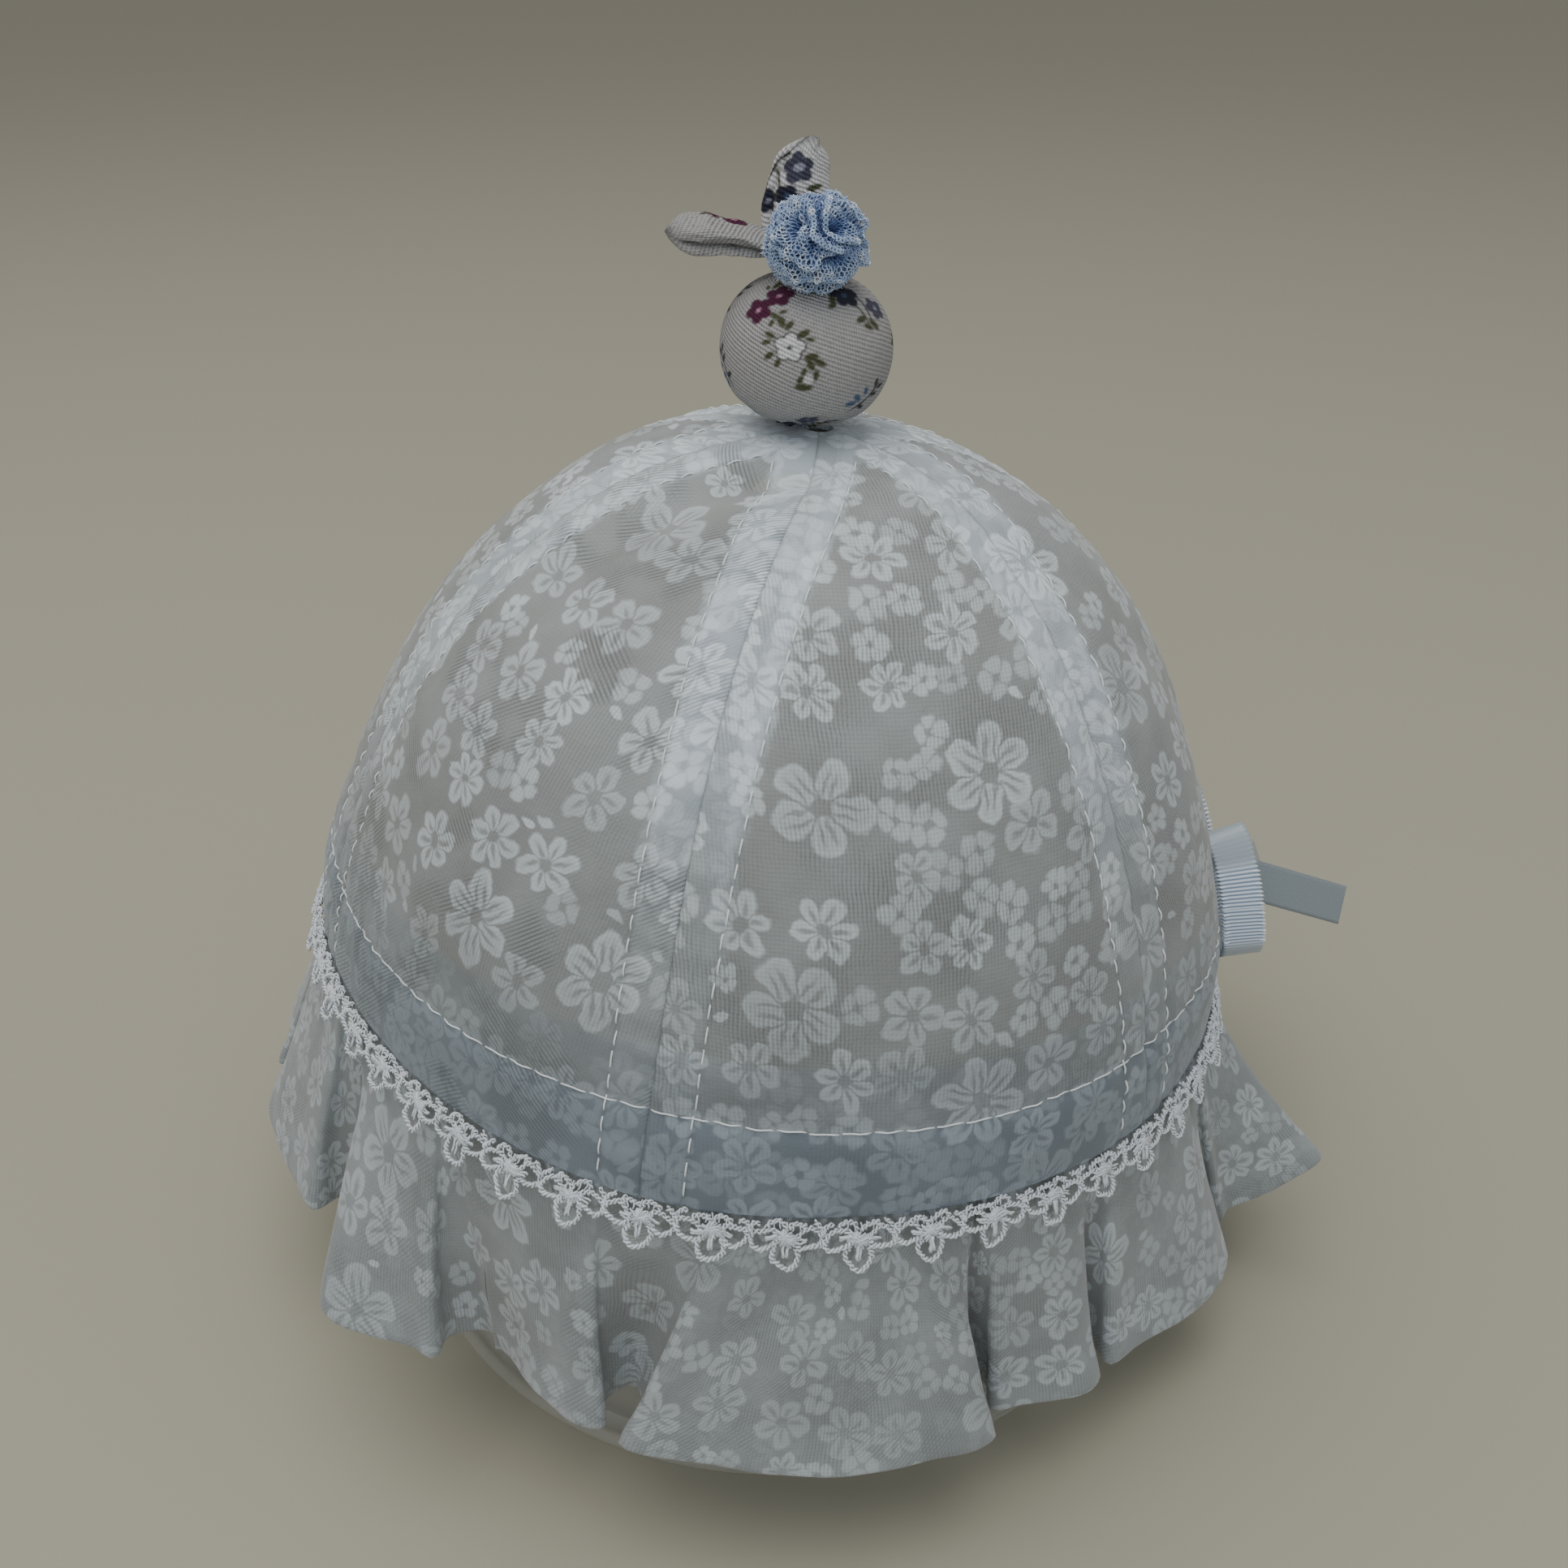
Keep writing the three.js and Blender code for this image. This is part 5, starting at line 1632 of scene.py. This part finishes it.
# Radius of the folded net in each direction: sharp creases where a sum of waves crosses zero, small
# bulges, the hollows, each a bell over an oval, and the fold edges.
def pompomReach(directions, layer):
    crease = bell(ripple(directions, 1.35, 50 + layer, 7), 0.2)
    small = bell(ripple(directions, 0.55, 60 + layer, 9), 0.25)
    reach = 0.98 - 0.07 * crease - 0.06 * small + 0.02 * ripple(directions, 0.4, 70)
    for heading, turn, depth, halfLong, halfWide in pompomHollows:
        heading = unit(np.array(heading, float))
        level = unit(np.cross(heading, [0.0, 0.0, 1.0]))
        upright = np.cross(level, heading)
        along, aside = turned(-(directions @ level), directions @ upright, math.radians(turn))
        front = ease(directions @ heading, 0.2, 0.6)
        reach = reach - depth * front * np.exp(-(along / halfLong) ** 2 - (aside / halfWide) ** 2)
    raised, dipped = np.zeros(reach.shape), np.zeros(reach.shape)
    for knots in pompomEdges:
        knots = unit(np.array(knots, float))
        for start, end in zip(knots, knots[1:]):
            way = end - start
            share = np.clip((directions - start) @ way / (way @ way), 0, 1)
            off = directions - start - share[..., None] * way
            side = off @ unit(np.cross(way, start + end))
            distance = np.linalg.norm(off, axis=-1)
            raised = np.maximum(raised, bell(distance, 0.08))
            dipped = np.maximum(dipped, bell(distance, 0.16) * ease(side, 0.03, 0.09))
    return np.maximum(reach + 0.07 * raised - 0.15 * dipped, 0.45)


# Two waves in antiphase along each fold edge, like the thread loops of a cut net.
def pompomHems(radius):
    paths = []
    for knots in pompomEdges:
        knots = unit(np.array(knots, float))
        lengths = lengthAlong(knots)
        along = np.linspace(0, lengths[-1], pompom["hemSteps"])
        way = unit(joined(*(np.interp(along, lengths, line) for line in knots.T)))
        way = unit(way + 0.04 * joined(*(ripple(way, 0.5, seed) for seed in (91, 92, 93))))
        aside = unit(np.cross(way, np.gradient(way, axis=0)))
        turn = along * radius * 2 * np.pi / pompom["hemPitch"]
        reach = pompomReach(way, 0) + 0.03 + 0.02 * ripple(way, 0.2, 94)
        for hand in (-1, 1):
            wave = hand * pompom["hemWidth"] * np.sin(turn)
            paths.append(way * (reach * radius)[:, None] + aside * wave[:, None])
    return np.array(paths)


def makePompom(material):
    radius = pompom["radius"]
    random = np.random.default_rng(77)
    parts, depths = [], []

    def addThreads(paths, away, reach, wire):
        parts.append(threads(paths, away, wire, 3))
        depths.append(np.repeat(reach.ravel(), 3))

    for layer, (scale, mesh) in enumerate(zip((1.0, 0.9), pompom["meshes"])):
        lines = np.stack(netEdges(radius * scale, mesh), 1)
        if layer:
            lines = lines[..., [1, 2, 0]] * [1, -1, 1]
        strays = joined(*(ripple(lines, 0.4, seed) for seed in (81, 82, 83)))
        lines = unit(lines + 0.03 * strays)
        reach = pompomReach(lines, layer) * scale
        addThreads(lines * (reach * radius)[..., None], lines, reach, pompom["wire"])
    headings = unit(random.normal(size=(pompom["ends"], 3)))
    reach = pompomReach(headings, 0)
    headings, reach = headings[reach > 0.8], reach[reach > 0.8]
    bend = 0.6 * random.normal(size=headings.shape)
    inner = headings * ((reach - 0.03) * radius)[:, None]
    length = pompom["endLength"] * random.uniform(0.4, 1, (len(reach), 1))
    outer = inner + unit(headings + bend) * length
    away = np.cross(headings, bend)
    addThreads(np.stack([inner, outer], 1), np.stack([away, away], 1),
               np.stack([reach, reach + 0.2], 1), pompom["endWire"])
    hems = pompomHems(radius)
    addThreads(hems, unit(hems), np.ones(hems.shape[:2]), pompom["hemWire"])
    rows, columns = pompom["coreRows"], pompom["coreColumns"]
    rise = ballRises(rows)
    turn = wholeTurn(columns)
    direction = joined(np.cos(rise) * np.sin(turn), -np.cos(rise) * np.cos(turn), np.sin(rise))
    direction = np.concatenate([flatList(direction), [[0, 0, -1], [0, 0, 1]]])
    reach = pompomReach(direction, 0) * pompom["core"]
    parts.append((direction * (reach * radius)[:, None], tubeFaces(rows, columns)))
    depths.append(reach * 0.9)
    points, faces = mergedParts(parts)
    depth = np.clip((np.concatenate(depths) - 0.5) / 0.5, 0, 1)
    makePiece("tulle_net", capToRow(points * [1, 1, pompom["flat"]] + pompom["middle"]), faces,
              material, "tulle", ["tulle_pompom"], marks={"depth": depth})


# Edges of a net of six-sided meshes on a ball: a flat net on each face of a cube, blown out to the ball.
def netEdges(radius, mesh):
    count = int(round(2 * radius * 0.9 / mesh))
    stepX, stepY = 2 / count, 2 / count * 0.87
    row, column = np.meshgrid(np.arange(int(2 / stepY) + 1), np.arange(count + 1), indexing="ij")
    x = -1 + (column + 0.5 * (row % 2)) * stepX
    y = -1 + row * stepY
    lines = np.concatenate([
        flatList(joined(x, y, x + dx * stepX, y + dy * stepX))
        for dx, dy in ((0.5, 0.29), (-0.5, 0.29), (0, -0.58))
    ])
    lines = lines[(np.abs(lines) <= 1.01).all(-1)]
    return [
        np.concatenate([
            unit(np.insert(np.tan(ends * math.pi / 4), axis, sign, axis=1))
            for axis in range(3) for sign in (-1, 1)
        ])
        for ends in (lines[:, :2], lines[:, 2:])
    ]


# ---- Ribbon bow
bow = {
    "angle": 104.0, "reach": 78.5, "height": 1.9, "lean": 16.0,
    "knotHalfWidth": 2.4, "knotHalfHeight": 3.2, "knotDepth": 9.8, "knotBack": -2.5,
    "loopLength": 13.5, "loopHeight": 29.8, "loopFlare": 0.08, "loopSlant": 0.16, "gap": 0.3,
    # the front loop hangs lower, and its outer edge rises with its height
    "loopDrop": 0.7, "loopTilts": [(-15, -0.2), (0, -0.28), (8, -0.15), (15, 0.16)],
    # each loop's node and hand, and each tail's node, place and heading
    "loops": {"front": ("bow_loop_front", -1), "back": ("bow_loop_back", 1)},
    "tails": {"front": ("bow_tail_front", -0.9, 0), "back": ("bow_tail_back", 1.9, 44)},
    "tailLength": 30.2, "tailRoot": -4.0, "tailDroop": 35.0, "tailTwist": 28.0,
    "ribbonWidth": 7.5, "ribbonThickness": 0.6, "solidThickness": 1.0,
    "ribPitch": 0.76, "ribDepth": 0.2,
}


# The bow's own drawing, with x towards the back, y up and z out from the crown, set on the cap.
def onBow(points):
    x, y, z = np.moveaxis(points, -1, 0)
    y, z = turned(y, z, math.radians(bow["lean"]))
    backward = polar(bow["angle"] + 90, 1.0, 0.0)
    outward = polar(bow["angle"], 1.0, 0.0)
    upward = np.array([0, 0, 1.0])
    place = polar(bow["angle"], bow["reach"], bow["height"])
    return capToRow(place + x[..., None] * backward + y[..., None] * upward + z[..., None] * outward)


# A strip of ribbon along a path: ribs run across it, and its long edges have small loops of thread.
def ribbonStrip(name, path, across, away, closed, node, material, dull=0.0):
    along = lengthAlong(path)
    share = np.linspace(-0.5, 0.5, 13)
    ribs = np.cos(along * 2 * np.pi / bow["ribPitch"])
    wave = 0.5 + 0.5 * ribs
    edge = ease(np.abs(share), 0.36, 0.47)
    shine = (1 - np.broadcast_to(dull, wave.shape)[:, None]) ** 2
    strength = shine ** 1.5
    rib = wave[:, None] * strength + 0.55 * (1 - strength) + 0 * share
    bead = shine * edge * (wave * (0.75 + 0.35 * np.sin(along * 3.1)))[:, None]
    picot = shine * 0.26 * ribs[:, None] * np.sign(share) * edge
    offset = share * bow["ribbonWidth"] + picot
    middle = path[:, None] + across[:, None] * offset[..., None]
    half = bow["ribbonThickness"] / 2 + bow["ribDepth"] * (rib + 2.0 * bead)
    front = middle + away[:, None] * half[..., None]
    back = middle - away[:, None] * half[..., None]
    loop = np.concatenate([front, back[:, ::-1]], 1)
    bothSides = lambda values: np.concatenate([values, values[:, ::-1]], 1)
    cloth = bothSides(joined(along[:, None], offset))
    # The rib mark sets the painted highlights on the crests and beads and the painted shade in the grooves.
    marks = bothSides(rib * (1 - 0.45 * edge * shine) + bead)
    dulls = np.broadcast_to(np.asarray(dull, float).reshape(-1, 1), marks.shape)
    rows, columns = loop.shape[:2]
    faces = [gridFaces(rows, columns, wrapRows=closed, wrapColumns=True)]
    if not closed:
        ends = np.array([np.arange(columns), (rows - 1) * columns + np.arange(columns)[::-1]])
        faces.append(ends)
    return makePiece(name, onBow(loop), faces, material, "ribbon", [node], cloth=cloth,
                     marks={"rib": marks, "dull": dulls})


# Loop: x = root + (L / 2)(1 + cos t), y = (H / 2)(0.4 + 0.6 sqrt(0.5 + 0.5 cos t)) sin t, flared outwards.
def makeLoop(name, hand, node, material):
    turn = wholeTurn(760)
    inset = bow["solidThickness"] / 2
    root = bow["knotHalfWidth"] + bow["gap"]
    place = root + bow["loopLength"] / 2 * (1 + np.cos(turn)) - inset * np.cos(turn)
    full = 0.4 + 0.6 * np.sqrt(0.5 + 0.5 * np.cos(turn))
    y = bow["loopHeight"] / 2 * full * np.sin(turn) - inset * np.sin(turn)
    slant = bow["loopSlant"] * (place - root) / bow["loopLength"]
    flare = 1 + bow["loopFlare"] / 2
    drop, tilt = 0, bow["loopFlare"] * y / bow["ribbonWidth"]
    if hand < 0:
        drop, tilt = bow["loopDrop"], smoothThrough(y, *np.transpose(bow["loopTilts"]))
    path = joined(hand * place + slant * y, y * flare - drop, bow["ribbonWidth"] / 2)
    across = joined(0, tilt, 1)
    heading = np.roll(path, -1, 0) - np.roll(path, 1, 0)
    away = unit(np.cross(heading, across))
    # Painted shade: the ribs and their painted highlights fade into the plain, darker colour at the loop's
    # top and bottom bends, and the ribs flatten there too.
    level = y / bow["loopHeight"]
    dull = 0.62 * np.maximum(ease(level, 0.2, 0.3), ease(-level, 0.22, 0.32))
    ribbonStrip(name, path, across, away, True, node, material, dull)


def makeTail(name, place, heading, node, material):
    droop, twist = math.radians(bow["tailDroop"]), math.radians(bow["tailTwist"])
    x = np.linspace(0, bow["tailLength"], 300)
    curl = 0.5 * np.sin(x / bow["tailLength"] * np.pi)

    def hung(x, y, z):
        y, z = turned(y, z, twist)
        x, y = turned(x, y, droop)
        x, z = turned(x, z, math.radians(heading - 90))
        return joined(x, y, z)

    lowerEdge = -bow["knotHalfHeight"] - bow["tailRoot"]
    slantBack = lowerEdge * math.tan(droop) * math.cos(math.radians(heading))
    rootOut = bow["knotBack"] + bow["knotDepth"] + bow["gap"] - slantBack
    path = hung(x, 0, curl) + [place, bow["tailRoot"], rootOut]
    across = hung(0 * x, 1, 0)
    away = unit(np.cross(np.gradient(path, axis=0), across))
    ribbonStrip(name, path, across, away, False, node, material, dull=1.0)


# Knot: a rounded block of ribbon wrapped round the middle, ribbed, and pinched at its waist.
def makeKnot(material):
    rows, columns = 60, 72
    rise = ballRises(rows)
    turn = wholeTurn(columns)
    power = lambda value, exponent: np.sign(value) * np.abs(value) ** exponent
    x = bow["knotHalfWidth"] * power(np.cos(rise), 0.5) * power(np.cos(turn), 0.6)
    y = bow["knotHalfHeight"] * power(np.cos(rise), 0.5) * power(np.sin(turn), 0.6)
    z = bow["knotDepth"] / 2 * power(np.sin(rise), 0.5) + bow["knotBack"] + bow["knotDepth"] / 2
    # rib also gives the knot the painted highlights and shade of the ribs.
    rib = 0.5 + 0.5 * np.cos(turn * 11)
    points = joined(x * (1 - 0.05 * rib), y * (1 - 0.04 * rib), z)
    ends = np.array([[0, 0, bow["knotBack"]], [0, 0, bow["knotBack"] + bow["knotDepth"]]])
    cloth = joined(turn * 3, z)
    makePiece("ribbon_knot", onBow(np.concatenate([flatList(points), ends])), tubeFaces(rows, columns),
              material, "ribbon", ["bow_knot"],
              cloth=np.concatenate([flatList(cloth), [[0, 0], [0, 9]]]),
              marks={"rib": np.append(np.broadcast_to(rib, (rows, columns)).ravel(), [0.5, 0.5]),
                     "dull": np.zeros(rows * columns + 2)})


# ---- Stand: a clear domed shell on a rolled rim, one profile turned round the upright axis
stand = {
    "footRadius": 66.5, "wallRadius": 62.5, "peak": 144.3, "wall": 0.9, "domeFoot": 58.0,
    "rimHeight": 3.0, "sides": 132, "domeSteps": 40,
}


def makeStand(material, rimMaterial):
    climb = np.linspace(0.02, np.pi / 2, stand["domeSteps"])

    def dome(inset):
        radius = (stand["wallRadius"] - 1 - inset) * np.sin(climb) ** 0.9
        height = stand["domeFoot"] + (stand["peak"] - stand["domeFoot"] - inset) * np.cos(climb) ** 1.3
        return joined(radius, height)

    wall, rim = stand["wall"], stand["rimHeight"]
    inside, outside = stand["wallRadius"] - wall, stand["wallRadius"]
    sides = [(inside, 8), (inside, rim), (outside, rim), (outside, 8)]
    shell = np.concatenate([dome(wall), sides, dome(0)[::-1]])
    turnProfile("clear_shell", shell, material, True, ["display_stand"])
    foot = stand["footRadius"]
    bead = np.radians(np.linspace(-80, 100, 9))
    rolled = joined(foot - 1.3 + 1.3 * np.cos(bead), 1.3 + 1.3 * np.sin(bead))
    lip = np.concatenate([[(inside, rim - 0.05), (inside, 1.6), (foot - 2.6, 0)], rolled,
                          [(foot - 2.0, 1.9), (outside + 0.4, 2.1), (outside, rim - 0.05)]])
    turnProfile("clear_rim", lip, rimMaterial, False, [])


# A profile of radius and height turned about the stand's upright axis.
def turnProfile(name, profile, material, domed, replaced):
    turn = wholeTurn(stand["sides"])
    radius, height = profile[:, 0, None], profile[:, 1, None]
    points = joined(radius * np.cos(turn), radius * np.sin(turn), height)
    points = flatList(points) + [standMiddle[0], standMiddle[1], 0]
    faces = [gridFaces(len(profile), stand["sides"], wrapRows=not domed, wrapColumns=True)]
    if domed:
        ends = [[standMiddle[0], standMiddle[1], profile[end, 1]] for end in (0, -1)]
        points, faces = np.concatenate([points, ends]), tubeFaces(len(profile), stand["sides"])
    return makePiece(name, points, faces, material, "clear_plastic", replaced)


# ---- Building
makeCamera()
makeStudio()
print("camera, floor and light")
voile = voileMaterial()
linenCloth = linenMaterial()
makeCrown(voile)
makeFacing(facingMaterial())
print("crown")
makeStitches(cottonMaterial("sewingThread"))
print("stitches")
makeRuffle(voile)
print("ruffle")
makeLace(cottonMaterial("laceCotton"))
print("lace")
makeBall(linenCloth)
for earName, earLook in ears.items():
    makeEar(earName, earLook, linenCloth)
print("ball and ears")
makePompom(tulleMaterial())
print("pompom")
grosgrain = ribbonMaterial()
for end, (node, hand) in bow["loops"].items():
    makeLoop(f"ribbon_{end}_loop", hand, node, grosgrain)
for end, (node, place, heading) in bow["tails"].items():
    makeTail(f"ribbon_{end}_tail", place, heading, node, grosgrain)
makeKnot(grosgrain)
print("bow")
makeStand(
    clearPlasticMaterial("clearPlastic", plainLooks["clear"]["shellAlpha"]),
    clearPlasticMaterial("clearRim", plainLooks["clear"]["rimAlpha"]),
)
print("stand")
